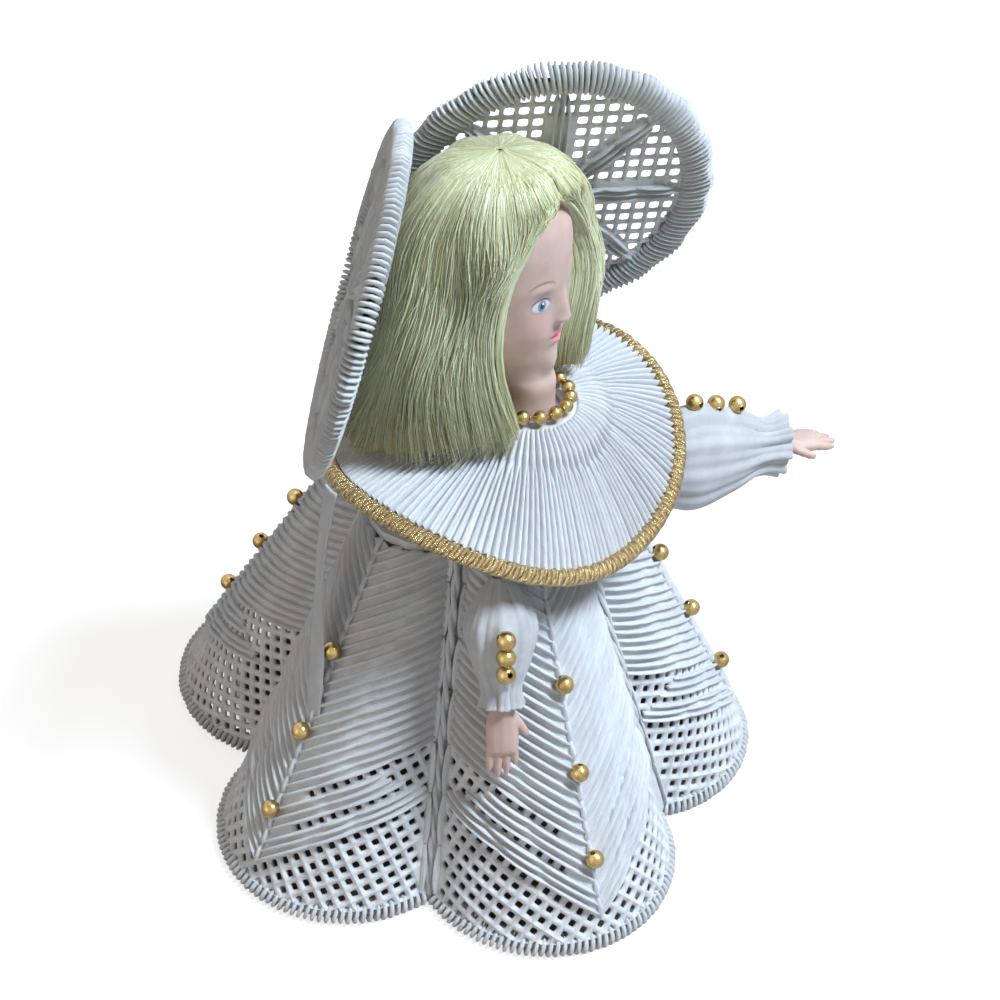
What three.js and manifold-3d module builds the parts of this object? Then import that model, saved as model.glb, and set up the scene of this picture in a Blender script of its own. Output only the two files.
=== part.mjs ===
import * as THREE from "three";
import { mergeGeometries, mergeVertices } from "three/addons/utils/BufferGeometryUtils.js";
import Module from "manifold-3d";

// A craft doll angel: a bell skirt of five curved mesh gores, a round cape, a doll head
// with long hair, two posable arms in gathered sleeves, and two round wings.
// Millimetres, +Z up. The doll faces -Y, so its left side is +X.

const wasm = await Module();
wasm.setup();

const seatGap = 0.3;
const cutOverrun = 1;

// Skirt
const lobeCount = 5;
const spineRadius = 82;
const backSpineRadius = 94;
const valleyRadius = 60;
const apexHeight = 158;
const skirtTopHeight = 94;
const canvasWall = 2.6;
const hemHeight = 4;
const hemWidth = 4.2;
const hemBevelShare = 0.25;
const hemTrim = 1.4;
const goreTrim = 0.35;
const seamRadius = 1.4;
const seamSides = 6;

// Open mesh of the gores: columns across a gore, rows up it
const meshColumns = 12;
const meshRowPitch = 6.6;
const meshFirstRow = 6.4;
const meshHoleHeight = 4.7;
const meshHoleWidthShare = 0.64;
const patchFirstRow = 44;
const hemRows = 3;
const risingRowSideColumns = 2;
const patchSideColumns = [2, 1];
const patchInsetColumns = 1;

// Waist disc and bodice
const waistThickness = 2.4;
const waistColumnStep = 2;
const arcSegments = 8;
const bodyAxisSide = 2;
const bodyAxisBack = -11;
const bodiceBoreRadius = 6;
const bodiceTopRadius = 9.8;
const bodiceMiddleRadius = 11;
const bodiceFootRadius = 13;
const bodiceFootHeight = 1.2;
const bodiceHeight = 24;
const bodiceSegments = 18;

// Cape
const capeHoleRadius = 8.2;
const capeCollarRadius = 12.8;
const capeReach = 44.5;
const capeRimBack = -8;
const capeThickness = 2.4;
const capeSteps = 40;
const capeRadialShares = [0, 0.3, 0.65, 1];
const capeDropPowerShare = 1.2;
const capeSideSlope = THREE.MathUtils.degToRad(4);
const capeFrontSlope = THREE.MathUtils.degToRad(32);
const capeBackSlope = THREE.MathUtils.degToRad(26);
const capeArmSlope = THREE.MathUtils.degToRad(12);
const ropeRadius = 2.2;
const ropeSides = 6;

// Necklace
const necklaceRadius = 10.8;
const necklaceBeads = 16;
const necklaceBeadRadius = 1.7;
const necklaceThreadRadius = 0.6;
const necklaceBeadLengthShare = 0.7;
const necklaceSides = 5;

// Head, neck and hair
const neckPegLength = 12;
const headHeight = 62;
const headSideRadius = 18;
const headDepthRadius = 20;
const headAround = 20;
const frontCrowdShare = 0.45;
const noseDepth = 3;
const noseHalfHeight = 3.4;
const chinDepth = 1.6;
const lipDepth = 0.9;
const socketDepth = 1.1;
const faceFeatureHeight = 2.6;
const noseHalfAngle = 0.16;
const lipHalfAngle = 0.22;
const chinHalfAngle = 0.35;
const eyeAngle = 0.38;
const eyeHalfAngle = 0.2;
const hairGap = 0.4;
const hairHeight = 189;
const hairSideBottom = 126.5;
const hairBackDrop = 4.4;
const hairFarRise = 7;
const hairRadius = 25;
const hairBackShift = 10;
const hairNearFlareShare = 0.22;
const hairFarTuckShare = 0.18;
const hairLockShare = 0.035;
const hairLocks = 8;
const hairLockTwist = 4;
const hairInnerRadius = 23;
const hairAround = 24;
const faceOpeningHalfWidth = 16;
const faceOpeningTop = 180;

// Arms
const wireShoulderReach = 35;
const wireShoulderHeight = 100;
const wireRadius = 1.1;
const wireSides = 6;
const wireKnotRadius = 1.7;
const sleeveWall = 1.1;
const sleeveFolds = 6;
const sleeveFoldShare = 0.1;
const sleeveMouth = 1.8;
const sleevePointsPerFold = 4;
const wristRadius = 2.5;
const wristInsertion = 5;
const handLength = 13;
const palmHalfWidth = 3.5;
const palmHalfThickness = 1.7;
const fingerRadius = 0.82;
const fingerSides = 5;
const palmSides = 10;
const thumbRootShare = 0.6;
const thumbTipShare = 1.6;
const fingerSpreadShare = 1.15;

// The left arm is held out, and the right one hangs a little steeper than the skirt
const leftArmTurn = THREE.MathUtils.degToRad(-40);
const leftArmPitch = THREE.MathUtils.degToRad(-4);
const leftArmLength = 44;
const leftSleeveHeight = 15;
const leftSleeveWidth = 9.5;
const leftPivotHeight = 88;
const leftPivotSkirtGap = 11.1;
const rightArmTurn = THREE.MathUtils.degToRad(-145);
const rightArmSteepness = THREE.MathUtils.degToRad(3.7);
const rightArmLength = 30;
const rightSleeveHeight = 7;
const rightSleeveWidth = 8;
const rightPivotHeight = 95;
const rightPivotSkirtGap = 11.2;

// Beads on the skirt spines and on the sleeves
const beadRadius = 2.4;
const beadSegments = 8;
const beadRings = 5;
const spineBeadHeights = [24, 45, 66];
const sleeveBeadShares = [0.28, 0.44, 0.6];

// Wings
const wingRadius = 39.5;
const wingThickness = 2.4;
const wingSegments = 24;
const wingReach = 35.5;
const wingBack = 10.6;
const wingLiftStep = 0.1;
const wingHeight = 155;
const wingPairTurn = THREE.MathUtils.degToRad(-13);
const wingSweep = THREE.MathUtils.degToRad(40);
const wingLean = THREE.MathUtils.degToRad(15);
const bindingDepth = 6.5;
const bindingWall = 1.1;
const wingRays = 8;
const wingRayWidth = 3.4;
const wingBarWidth = 1.7;
const wingHubRadius = 8;
const wingHoleRows = [1, 1, 2];
const rootSeamLength = 22;

// Ribbon that hangs from the cape's rope, with the turns, reaches and heights of its route
const ribbonTopTurn = THREE.MathUtils.degToRad(147);
const ribbonHalfWidth = 2.3;
const ribbonThickness = 0.8;
const ribbonTurns = [157, 158, 160, 162].map(THREE.MathUtils.degToRad);
const ribbonReaches = [49, 51, 53.4, 56.7];
const ribbonHeights = [97, 82, 66, 49.8];

const yarnWhite = [0xdfe6ee, 0.85, 0];
const canvasWhite = [0xe9edf1, 0.6, 0];
const satinWhite = [0xe8e8ea, 0.45, 0];
const goldMetal = [0xb9923f, 0.3, 0.9];
const skinPink = [0xd9a48c, 0.55, 0];
const hairBlonde = [0xdfdca6, 0.6, 0];
const wireWhite = [0xd6d6d6, 0.8, 0];

const model = new THREE.Group();

function addPiece(parent, name, geometry, [color, roughness, metalness]) {
  const material = new THREE.MeshStandardMaterial({ color, roughness, metalness });
  const mesh = new THREE.Mesh(geometry, material);
  mesh.name = name;
  parent.add(mesh);
  return mesh;
}

// Skins a row of rings, each with the same number of points, into one closed surface.
function loft(rings, closed = false) {
  const around = rings[0].length;
  const positions = rings.flat().flatMap((p) => [p.x, p.y, p.z]);
  const index = [];
  const spans = closed ? rings.length : rings.length - 1;
  for (let i = 0; i < spans; i++) {
    const next = (i + 1) % rings.length;
    for (let j = 0; j < around; j++) {
      const k = (j + 1) % around;
      const a = i * around + j;
      const b = i * around + k;
      const c = next * around + k;
      const d = next * around + j;
      index.push(a, b, c, a, c, d);
    }
  }
  if (!closed) {
    const last = (rings.length - 1) * around;
    for (let j = 1; j < around - 1; j++) {
      index.push(0, j + 1, j);
      index.push(last, last + j, last + j + 1);
    }
  }
  const geometry = new THREE.BufferGeometry();
  geometry.setAttribute("position", new THREE.Float32BufferAttribute(positions, 3));
  geometry.setIndex(index);
  return faceOutward(geometry);
}

// Turns the triangles round when the volume they enclose counts as negative.
function faceOutward(geometry) {
  const p = geometry.getAttribute("position");
  const index = geometry.getIndex().array;
  const [a, b, c] = [new THREE.Vector3(), new THREE.Vector3(), new THREE.Vector3()];
  let volume = 0;
  for (let i = 0; i < index.length; i += 3) {
    a.fromBufferAttribute(p, index[i]);
    b.fromBufferAttribute(p, index[i + 1]);
    c.fromBufferAttribute(p, index[i + 2]);
    volume += a.dot(b.cross(c));
  }
  if (volume < 0) {
    for (let i = 0; i < index.length; i += 3) {
      [index[i + 1], index[i + 2]] = [index[i + 2], index[i + 1]];
    }
  }
  return geometry;
}

function toSolid(geometry) {
  const bare = geometry.clone();
  bare.deleteAttribute("normal");
  bare.deleteAttribute("uv");
  const merged = mergeVertices(bare);
  const vertProperties = merged.getAttribute("position").array;
  const triVerts = new Uint32Array(merged.getIndex().array);
  return new wasm.Manifold(new wasm.Mesh({ numProp: 3, vertProperties, triVerts }));
}

function toGeometry(solid) {
  const { vertProperties, triVerts } = solid.getMesh();
  const geometry = new THREE.BufferGeometry();
  geometry.setAttribute("position", new THREE.BufferAttribute(vertProperties, 3));
  geometry.setIndex(new THREE.BufferAttribute(triVerts, 1));
  return geometry;
}

function straightRod(from, to, radius, sides) {
  const section = new THREE.Shape();
  for (let i = 0; i < sides; i++) {
    const a = (i * 2 * Math.PI) / sides;
    const [x, y] = [radius * Math.cos(a), radius * Math.sin(a)];
    if (i === 0) section.moveTo(x, y);
    else section.lineTo(x, y);
  }
  section.closePath();
  const path = new THREE.LineCurve3(from, to);
  return new THREE.ExtrudeGeometry(section, { steps: 1, extrudePath: path });
}

// A revolved piece whose axis is Z. Profile points are [radius, height].
function turned(profile, segments) {
  const points = profile.map(([r, h]) => new THREE.Vector2(r, h));
  const geometry = new THREE.LatheGeometry(points, segments);
  return geometry.rotateX(Math.PI / 2);
}

function planPoint(reach, turn, height) {
  return new THREE.Vector3(reach * Math.cos(turn), reach * Math.sin(turn), height);
}

// Each lobe is an arc from valley to valley that bulges out to its spine.
function makeLobe(turn, radius) {
  const half = Math.PI / lobeCount;
  const valleyAlong = valleyRadius * Math.cos(half);
  const centre = (radius ** 2 - valleyRadius ** 2) / (2 * (radius - valleyAlong));
  const arcRadius = radius - centre;
  const halfArc = Math.atan2(valleyRadius * Math.sin(half), valleyAlong - centre);
  return { turn, centre, arcRadius, halfArc };
}

const lobes = [];
for (let k = 0; k < lobeCount; k++) {
  const turn = Math.PI / 2 + (k * 2 * Math.PI) / lobeCount;
  lobes.push(makeLobe(turn, k === 0 ? backSpineRadius : spineRadius));
}

function coneScale(height) {
  return 1 - height / apexHeight;
}

// A point on a gore: share runs from -1 at one valley to 1 at the other, and inset is
// measured from the outer face.
function lobePoint(lobe, share, height, inset = 0, trim = 0) {
  const scale = coneScale(height);
  const radius = lobe.arcRadius * scale;
  const angle = share * (lobe.halfArc - trim / radius);
  const x = lobe.centre * scale + (radius - inset) * Math.cos(angle);
  const y = (radius - inset) * Math.sin(angle);
  const [c, s] = [Math.cos(lobe.turn), Math.sin(lobe.turn)];
  return new THREE.Vector3(x * c - y * s, x * s + y * c, height);
}

function columnShare(column) {
  return (2 * column) / meshColumns - 1;
}

function meshWindow(lobe, column, bottom) {
  const middle = (columnShare(column) + columnShare(column + 1)) / 2;
  const half = meshHoleWidthShare / meshColumns;
  const corners = [
    [middle - half, bottom],
    [middle + half, bottom],
    [middle + half, bottom + meshHoleHeight],
    [middle - half, bottom + meshHoleHeight],
  ];
  const faces = [-cutOverrun, canvasWall + cutOverrun];
  return loft(faces.map((inset) => corners.map(([u, h]) => lobePoint(lobe, u, h, inset, goreTrim))));
}

function sideColumns(count, inset) {
  const columns = [];
  for (let i = inset; i < inset + count; i++) columns.push(i, meshColumns - 1 - i);
  return columns;
}

function goreWindows(lobe) {
  const windows = [];
  for (let row = 0; row < hemRows; row++) {
    for (let column = 0; column < meshColumns; column++) {
      windows.push(meshWindow(lobe, column, meshFirstRow + row * meshRowPitch));
    }
  }
  const risingRow = meshFirstRow + hemRows * meshRowPitch;
  for (const column of sideColumns(risingRowSideColumns, 0)) {
    windows.push(meshWindow(lobe, column, risingRow));
  }
  patchSideColumns.forEach((count, row) => {
    for (const column of sideColumns(count, patchInsetColumns)) {
      windows.push(meshWindow(lobe, column, patchFirstRow + row * meshRowPitch));
    }
  });
  return windows;
}

function goreGeometry(lobe) {
  const bottom = hemHeight + seatGap;
  const rings = [];
  for (let column = 0; column <= meshColumns; column++) {
    const u = columnShare(column);
    rings.push([
      lobePoint(lobe, u, bottom, 0, goreTrim),
      lobePoint(lobe, u, skirtTopHeight, 0, goreTrim),
      lobePoint(lobe, u, skirtTopHeight, canvasWall, goreTrim),
      lobePoint(lobe, u, bottom, canvasWall, goreTrim),
    ]);
  }
  const windows = mergeGeometries(goreWindows(lobe));
  return toGeometry(toSolid(loft(rings)).subtract(toSolid(windows)));
}

// How far the skirt's outer face lies from its axis in a direction.
function skirtReach(turn, height) {
  const steps = Math.round(((turn - lobes[0].turn) * lobeCount) / (2 * Math.PI));
  const lobe = lobes[(steps + 2 * lobeCount) % lobeCount];
  const away = turn - lobe.turn;
  const across = lobe.centre * Math.sin(away);
  const along = lobe.centre * Math.cos(away) + Math.sqrt(lobe.arcRadius ** 2 - across ** 2);
  return along * coneScale(height);
}

const arms = {
  left: {
    turn: leftArmTurn,
    pitch: leftArmPitch,
    length: leftArmLength,
    height: leftSleeveHeight,
    width: leftSleeveWidth,
    pivotReach: skirtReach(leftArmTurn, leftPivotHeight) + leftPivotSkirtGap,
    pivotHeight: leftPivotHeight,
  },
  right: {
    turn: rightArmTurn,
    pitch: -Math.atan2(apexHeight, skirtReach(rightArmTurn, 0)) - rightArmSteepness,
    length: rightArmLength,
    height: rightSleeveHeight,
    width: rightSleeveWidth,
    pivotReach: skirtReach(rightArmTurn, rightPivotHeight) + rightPivotSkirtGap,
    pivotHeight: rightPivotHeight,
  },
};

// The hem is a flat-bottomed roll of yarn along the foot of each gore.
function hemGeometry(lobe) {
  const half = hemWidth / 2;
  const bevel = hemWidth * hemBevelShare;
  const section = [
    [bevel - half, 0],
    [half - bevel, 0],
    [half, hemHeight / 2],
    [half - bevel, hemHeight],
    [bevel - half, hemHeight],
    [-half, hemHeight / 2],
  ];
  const rings = [];
  for (let column = 0; column <= meshColumns; column++) {
    rings.push(
      section.map(([across, height]) => {
        const inset = canvasWall / 2 - across;
        const p = lobePoint(lobe, columnShare(column), hemHeight, inset, hemTrim);
        return p.setZ(height);
      }),
    );
  }
  return loft(rings);
}

// The stitched seam lies in the outer groove of a valley, where two gores meet.
function seamGeometry(lobe, nextLobe) {
  const turn = lobe.turn + Math.PI / lobeCount;
  const halfArc = Math.min(lobe.halfArc, nextLobe.halfArc);
  const flank = Math.PI / 2 - (halfArc - Math.PI / lobeCount);
  const slope = Math.hypot(valleyRadius, apexHeight) / apexHeight;
  const offset = ((seamRadius + seatGap) * slope) / Math.sin(flank);
  const bottom = hemHeight + seatGap;
  const at = (height) => planPoint(valleyRadius * coneScale(height) + offset, turn, height);
  return straightRod(at(bottom), at(skirtTopHeight), seamRadius, seamSides);
}

function spineBeadCentre(lobe, height) {
  const surface = lobePoint(lobe, 0, height);
  const spine = Math.hypot(lobe.centre + lobe.arcRadius, apexHeight);
  const [outward, upward] = [apexHeight / spine, (lobe.centre + lobe.arcRadius) / spine];
  const offset = beadRadius + seatGap;
  const p = planPoint(offset * outward, lobe.turn, offset * upward);
  return surface.add(p);
}

function beadGeometry() {
  return new THREE.SphereGeometry(beadRadius, beadSegments, beadRings);
}

function buildSkirt() {
  lobes.forEach((lobe, k) => {
    const label = k + 1;
    addPiece(model, "skirt_gore_" + label, goreGeometry(lobe), canvasWhite);
    addPiece(model, "skirt_hem_" + label, hemGeometry(lobe), yarnWhite);
    const nextLobe = lobes[label % lobeCount];
    addPiece(model, "gore_seam_" + label, seamGeometry(lobe, nextLobe), yarnWhite);
    spineBeadHeights.forEach((height, i) => {
      const bead = addPiece(model, "skirt_bead_" + label + "_" + (i + 1), beadGeometry(), goldMetal);
      bead.position.copy(spineBeadCentre(lobe, height));
    });
  });
}

const waistBottom = skirtTopHeight + seatGap;
const bodiceBottom = waistBottom + waistThickness + seatGap;
const bodiceTop = bodiceBottom + bodiceHeight;
const bodyAxis = new THREE.Vector3(bodyAxisSide, bodyAxisBack, 0);
const rimAxis = new THREE.Vector3(0, capeRimBack, 0);

function waistGeometry() {
  const outline = new THREE.Shape();
  const points = [];
  for (const lobe of lobes) {
    for (let column = 0; column < meshColumns; column += waistColumnStep) {
      points.push(lobePoint(lobe, columnShare(column), skirtTopHeight, 0, goreTrim));
    }
  }
  outline.setFromPoints(points.map((p) => new THREE.Vector2(p.x, p.y)));
  const hole = new THREE.Path();
  hole.absarc(bodyAxisSide, bodyAxisBack, bodiceBoreRadius, 0, 2 * Math.PI, true);
  outline.holes.push(hole);
  const options = { depth: waistThickness, bevelEnabled: false, curveSegments: arcSegments };
  return new THREE.ExtrudeGeometry(outline, options).translate(0, 0, waistBottom);
}

function bodiceGeometry() {
  const profile = [
    [bodiceBoreRadius, 0],
    [bodiceFootRadius, 0],
    [bodiceFootRadius, bodiceFootHeight],
    [bodiceMiddleRadius, bodiceFootHeight],
    [bodiceTopRadius, bodiceHeight],
    [bodiceBoreRadius, bodiceHeight],
    [bodiceBoreRadius, 0],
  ];
  return turned(profile, bodiceSegments).translate(bodyAxisSide, bodyAxisBack, bodiceBottom);
}

// Slope of the cape below level: flat over the sides, steep in front, at the back and
// over the arm that hangs.
function capeSlopeAt(turn) {
  const front = Math.max(0, -Math.sin(turn)) ** 2;
  const back = Math.max(0, Math.sin(turn)) ** 2;
  const arm = Math.max(0, Math.cos(turn - rightArmTurn)) ** 2;
  const frontRise = (capeFrontSlope - capeSideSlope) * front;
  const backRise = (capeBackSlope - capeSideSlope) * back;
  return capeSideSlope + frontRise + backRise + capeArmSlope * arm;
}

const capeNeckBottom = bodiceTop + seatGap;

// Share 0 is the edge of the flat collar and share 1 the rim.
function capePoint(turn, share, rise) {
  const slope = capeSlopeAt(turn);
  const rimHeight = capeNeckBottom - capeReach * Math.sin(slope);
  const inner = planPoint(capeCollarRadius, turn, capeNeckBottom).add(bodyAxis);
  const outer = planPoint(capeReach * Math.cos(slope), turn, rimHeight).add(rimAxis);
  const p = inner.clone().lerp(outer, share);
  p.z = THREE.MathUtils.lerp(inner.z, outer.z, share ** capeDropPowerShare) + rise;
  return p;
}

function capeGeometry() {
  const rings = [];
  for (let i = 0; i < capeSteps; i++) {
    const turn = (i * 2 * Math.PI) / capeSteps;
    const neck = planPoint(capeHoleRadius, turn, capeNeckBottom).add(bodyAxis);
    const top = capeRadialShares.map((share) => capePoint(turn, share, capeThickness));
    const bottom = capeRadialShares.map((share) => capePoint(turn, share, 0)).reverse();
    rings.push([neck.clone().setZ(neck.z + capeThickness), ...top, ...bottom, neck]);
  }
  return loft(rings, true);
}

function ropeCentre(turn) {
  const rim = capePoint(turn, 1, capeThickness / 2);
  return rim.add(planPoint(ropeRadius + seatGap, turn, 0));
}

function ropeGeometry() {
  const rings = [];
  for (let i = 0; i < capeSteps; i++) {
    const turn = (i * 2 * Math.PI) / capeSteps;
    const centre = ropeCentre(turn);
    const ring = [];
    for (let j = 0; j < ropeSides; j++) {
      const a = ((2 * j + 1) * Math.PI) / ropeSides;
      const offset = planPoint(ropeRadius * Math.cos(a), turn, ropeRadius * Math.sin(a));
      ring.push(centre.clone().add(offset));
    }
    rings.push(ring);
  }
  return loft(rings, true);
}

// Beads threaded on a cord: the ring of the cord swells at each bead.
function necklaceGeometry() {
  const slot = (2 * Math.PI) / necklaceBeads;
  const half = (slot * necklaceBeadLengthShare) / 2;
  const height = capeNeckBottom + capeThickness + seatGap + necklaceBeadRadius;
  const rings = [];
  for (let bead = 0; bead < necklaceBeads; bead++) {
    const stations = [
      [-half, necklaceThreadRadius],
      [-half, necklaceBeadRadius],
      [half, necklaceBeadRadius],
      [half, necklaceThreadRadius],
    ];
    for (const [shift, radius] of stations) {
      const turn = bead * slot + shift;
      const centre = planPoint(necklaceRadius, turn, height).add(bodyAxis);
      const ring = [];
      for (let j = 0; j < necklaceSides; j++) {
        const a = (j * 2 * Math.PI) / necklaceSides;
        const offset = planPoint(radius * Math.cos(a), turn, radius * Math.sin(a));
        ring.push(centre.clone().add(offset));
      }
      rings.push(ring);
    }
  }
  return loft(rings, true);
}

const jawHeightShare = 0.3;

// Head outline by height: share of the head's height, of its half width and of its half
// depth, and how far the section sits forward, as a share of the half depth.
const headSectionShares = [
  [0, 0.41, 0.37, 0],
  [0.09, 0.38, 0.35, 0],
  [0.16, 0.4, 0.38, -0.04],
  [0.195, 0.48, 0.5, -0.22],
  [0.235, 0.6, 0.62, -0.36],
  [jawHeightShare, 0.75, 0.76, -0.46],
  [0.36, 0.85, 0.86, -0.53],
  [0.42, 0.92, 0.92, -0.57],
  [0.48, 0.96, 0.96, -0.6],
  [0.55, 0.99, 0.98, -0.6],
  [0.62, 1, 1, -0.6],
  [0.7, 1, 1, -0.6],
  [0.78, 0.98, 0.99, -0.6],
  [0.86, 0.9, 0.92, -0.6],
  [0.93, 0.7, 0.72, -0.6],
  [0.98, 0.4, 0.42, -0.6],
  [1, 0.12, 0.12, -0.6],
];
const chinHeightShare = 0.235;
const lipHeightShare = 0.38;
const noseHeightShare = 0.47;
const eyeHeightShare = 0.57;

function bell(x, width) {
  return Math.exp(-((x / width) ** 2));
}

// How far the face stands out at an angle from the front and a height on the head.
function faceRelief(angle, height) {
  const above = (share) => height - share * headHeight;
  const noseRow = bell(above(noseHeightShare), noseHalfHeight);
  const lipRow = bell(above(lipHeightShare), faceFeatureHeight);
  const chinRow = bell(above(chinHeightShare), faceFeatureHeight);
  const eyeRow = bell(above(eyeHeightShare), faceFeatureHeight);
  const nose = noseDepth * bell(angle, noseHalfAngle) * noseRow;
  const lips = lipDepth * bell(angle, lipHalfAngle) * lipRow;
  const chin = chinDepth * bell(angle, chinHalfAngle) * chinRow;
  const leftSocket = bell(angle - eyeAngle, eyeHalfAngle);
  const rightSocket = bell(angle + eyeAngle, eyeHalfAngle);
  return nose + lips + chin - socketDepth * eyeRow * (leftSocket + rightSocket);
}

function headRing([heightShare, sideShare, depthShare, forwardShare], grow) {
  const height = heightShare * headHeight;
  const ring = [];
  for (let i = 0; i < headAround; i++) {
    const even = (i * 2 * Math.PI) / headAround;
    const angle = even - frontCrowdShare * Math.sin(even);
    const signed = Math.atan2(Math.sin(angle), Math.cos(angle));
    const relief = faceRelief(signed, height) + grow;
    const x = (sideShare * headSideRadius + relief) * Math.sin(angle);
    const y = (depthShare * headDepthRadius + relief) * Math.cos(angle);
    ring.push(new THREE.Vector3(x, -y - forwardShare * headDepthRadius, height));
  }
  return ring;
}

function headGeometry() {
  const peg = bodiceBoreRadius - seatGap;
  const pegRing = headRing([0, 0, 0, 0], 0).map((p) => p.setLength(peg));
  const rings = [
    pegRing.map((p) => p.clone().setZ(-neckPegLength)),
    pegRing,
    ...headSectionShares.map((section) => headRing(section, 0)),
  ];
  return loft(rings);
}

// Hair outline: height share from the bottom edge to the crown, and radius share.
const hairSectionShares = [
  [0, 1.1],
  [0.18, 1.09],
  [0.38, 1.06],
  [0.56, 1.01],
  [0.7, 0.94],
  [0.82, 0.8],
  [0.91, 0.62],
  [0.97, 0.38],
  [1, 0.12],
];

function hairRing([heightShare, radiusShare], headSeat) {
  const ring = [];
  for (let i = 0; i < hairAround; i++) {
    const angle = (i * 2 * Math.PI) / hairAround;
    const back = Math.max(0, -Math.cos(angle)) ** 2;
    const far = Math.max(0, Math.sin(angle)) ** 2;
    const near = Math.max(0, -Math.sin(angle)) ** 2;
    const drop = hairBackDrop * back - hairFarRise * far;
    const bottom = hairSideBottom - drop - headSeat;
    const height = THREE.MathUtils.lerp(bottom, hairHeight - headSeat, heightShare);
    const lock = 1 + hairLockShare * Math.cos(hairLocks * angle + hairLockTwist * heightShare);
    const sweep = 1 + (1 - heightShare) ** 2 * (hairNearFlareShare * near - hairFarTuckShare * far);
    const radius = hairRadius * radiusShare * lock * sweep;
    const y = hairBackShift - radius * Math.cos(angle);
    ring.push(new THREE.Vector3(radius * Math.sin(angle), y, height));
  }
  return ring;
}

function faceOpening(headSeat) {
  const foot = hairSideBottom - hairBackDrop - cutOverrun - headSeat;
  const spring = faceOpeningTop - faceOpeningHalfWidth - headSeat;
  const arch = new THREE.Shape();
  arch.moveTo(-faceOpeningHalfWidth, foot);
  arch.lineTo(faceOpeningHalfWidth, foot);
  arch.lineTo(faceOpeningHalfWidth, spring);
  arch.absarc(0, spring, faceOpeningHalfWidth, 0, Math.PI);
  arch.closePath();
  const options = { depth: 2 * hairRadius, bevelEnabled: false, curveSegments: arcSegments };
  return new THREE.ExtrudeGeometry(arch, options).rotateX(Math.PI / 2);
}

function hairGeometry(headSeat) {
  const grown = loft(headSectionShares.map((section) => headRing(section, hairGap)));
  const foot = hairSideBottom - hairBackDrop - cutOverrun - headSeat;
  const jaw = jawHeightShare * headHeight;
  const throat = turned(
    [
      [0, foot],
      [hairInnerRadius, foot],
      [hairInnerRadius, jaw],
      [headSideRadius / 2, jaw + headSideRadius / 2],
      [0, jaw + headSideRadius / 2],
    ],
    hairAround,
  );
  return toGeometry(
    toSolid(loft(hairSectionShares.map((section) => hairRing(section, headSeat))))
      .subtract(toSolid(grown))
      .subtract(toSolid(throat))
      .subtract(toSolid(faceOpening(headSeat))),
  );
}

function buildBody() {
  addPiece(model, "waist_disc", waistGeometry(), canvasWhite);
  addPiece(model, "bodice_tube", bodiceGeometry(), canvasWhite);
  addPiece(model, "cape", capeGeometry(), yarnWhite);
  addPiece(model, "cape_rope", ropeGeometry(), goldMetal);
  addPiece(model, "necklace", necklaceGeometry(), goldMetal);
  const seat = bodiceTop + seatGap;
  const head = new THREE.Group();
  head.position.copy(bodyAxis).setZ(seat);
  model.add(head);
  addPiece(head, "head", headGeometry(), skinPink);
  addPiece(head, "hair", hairGeometry(seat), hairBlonde);
}

// Sleeve outline along the arm: share of the length and of the full section.
const sleeveSectionShares = [
  [0, 0.62],
  [0.22, 1],
  [0.6, 0.8],
  [0.88, 0.4],
  [1, 0.6],
];

function sleeveRing(arm, [lengthShare, sizeShare], inset) {
  const x = THREE.MathUtils.lerp(sleeveMouth, arm.length, lengthShare);
  const gather = wristRadius + seatGap + sleeveWall;
  const points = sleeveFolds * sleevePointsPerFold;
  const ring = [];
  for (let i = 0; i < points; i++) {
    const a = (i * 2 * Math.PI) / points;
    const fold = 1 + sleeveFoldShare * Math.cos(sleeveFolds * a);
    const up = Math.max(gather, arm.height * sizeShare) * fold - inset;
    const side = Math.max(gather, arm.width * sizeShare) * fold - inset;
    ring.push(new THREE.Vector3(x, side * Math.sin(a), up * Math.cos(a)));
  }
  return ring;
}

function sleeveGeometry(arm) {
  const outer = sleeveSectionShares.map((section) => sleeveRing(arm, section, 0));
  const inner = sleeveSectionShares.map((section) => sleeveRing(arm, section, sleeveWall));
  return loft([...outer, ...inner.reverse()], true);
}

function sleeveTopAt(arm, share) {
  const stations = sleeveSectionShares;
  const i = stations.findIndex(([s]) => s >= share);
  const [[s0, k0], [s1, k1]] = [stations[i - 1], stations[i]];
  const size = THREE.MathUtils.mapLinear(share, s0, s1, k0, k1);
  return arm.height * size * (1 + sleeveFoldShare);
}

const knuckleShare = 0.45;

// Palm outline from the wrist: share of the hand's length, half thickness, half width.
const palmSectionShares = [
  [0.08, 1.2, 0.72],
  [0.25, 1.1, 0.95],
  [knuckleShare, 0.95, 1],
  [0.62, 0.75, 0.97],
  [0.66, 0.4, 0.9],
];
const fingerTipShares = [0.9, 1, 0.97, 0.84];
const fingerSectionShares = [
  [0, 1],
  [0.75, 0.92],
  [1, 0.45],
];

function ovalRing(x, halfThickness, halfWidth, sides) {
  const ring = [];
  for (let i = 0; i < sides; i++) {
    const a = (i * 2 * Math.PI) / sides;
    ring.push(new THREE.Vector3(x, halfWidth * Math.sin(a), halfThickness * Math.cos(a)));
  }
  return ring;
}

function fingerGeometry(from, to) {
  const along = to.clone().sub(from);
  const turn = new THREE.Quaternion().setFromUnitVectors(
    new THREE.Vector3(1, 0, 0),
    along.clone().normalize(),
  );
  const rings = fingerSectionShares.map(([share, size]) => {
    const radius = fingerRadius * size;
    const ring = ovalRing(share * along.length(), radius, radius, fingerSides);
    return ring.map((p) => p.applyQuaternion(turn).add(from));
  });
  return loft(rings);
}

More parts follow.
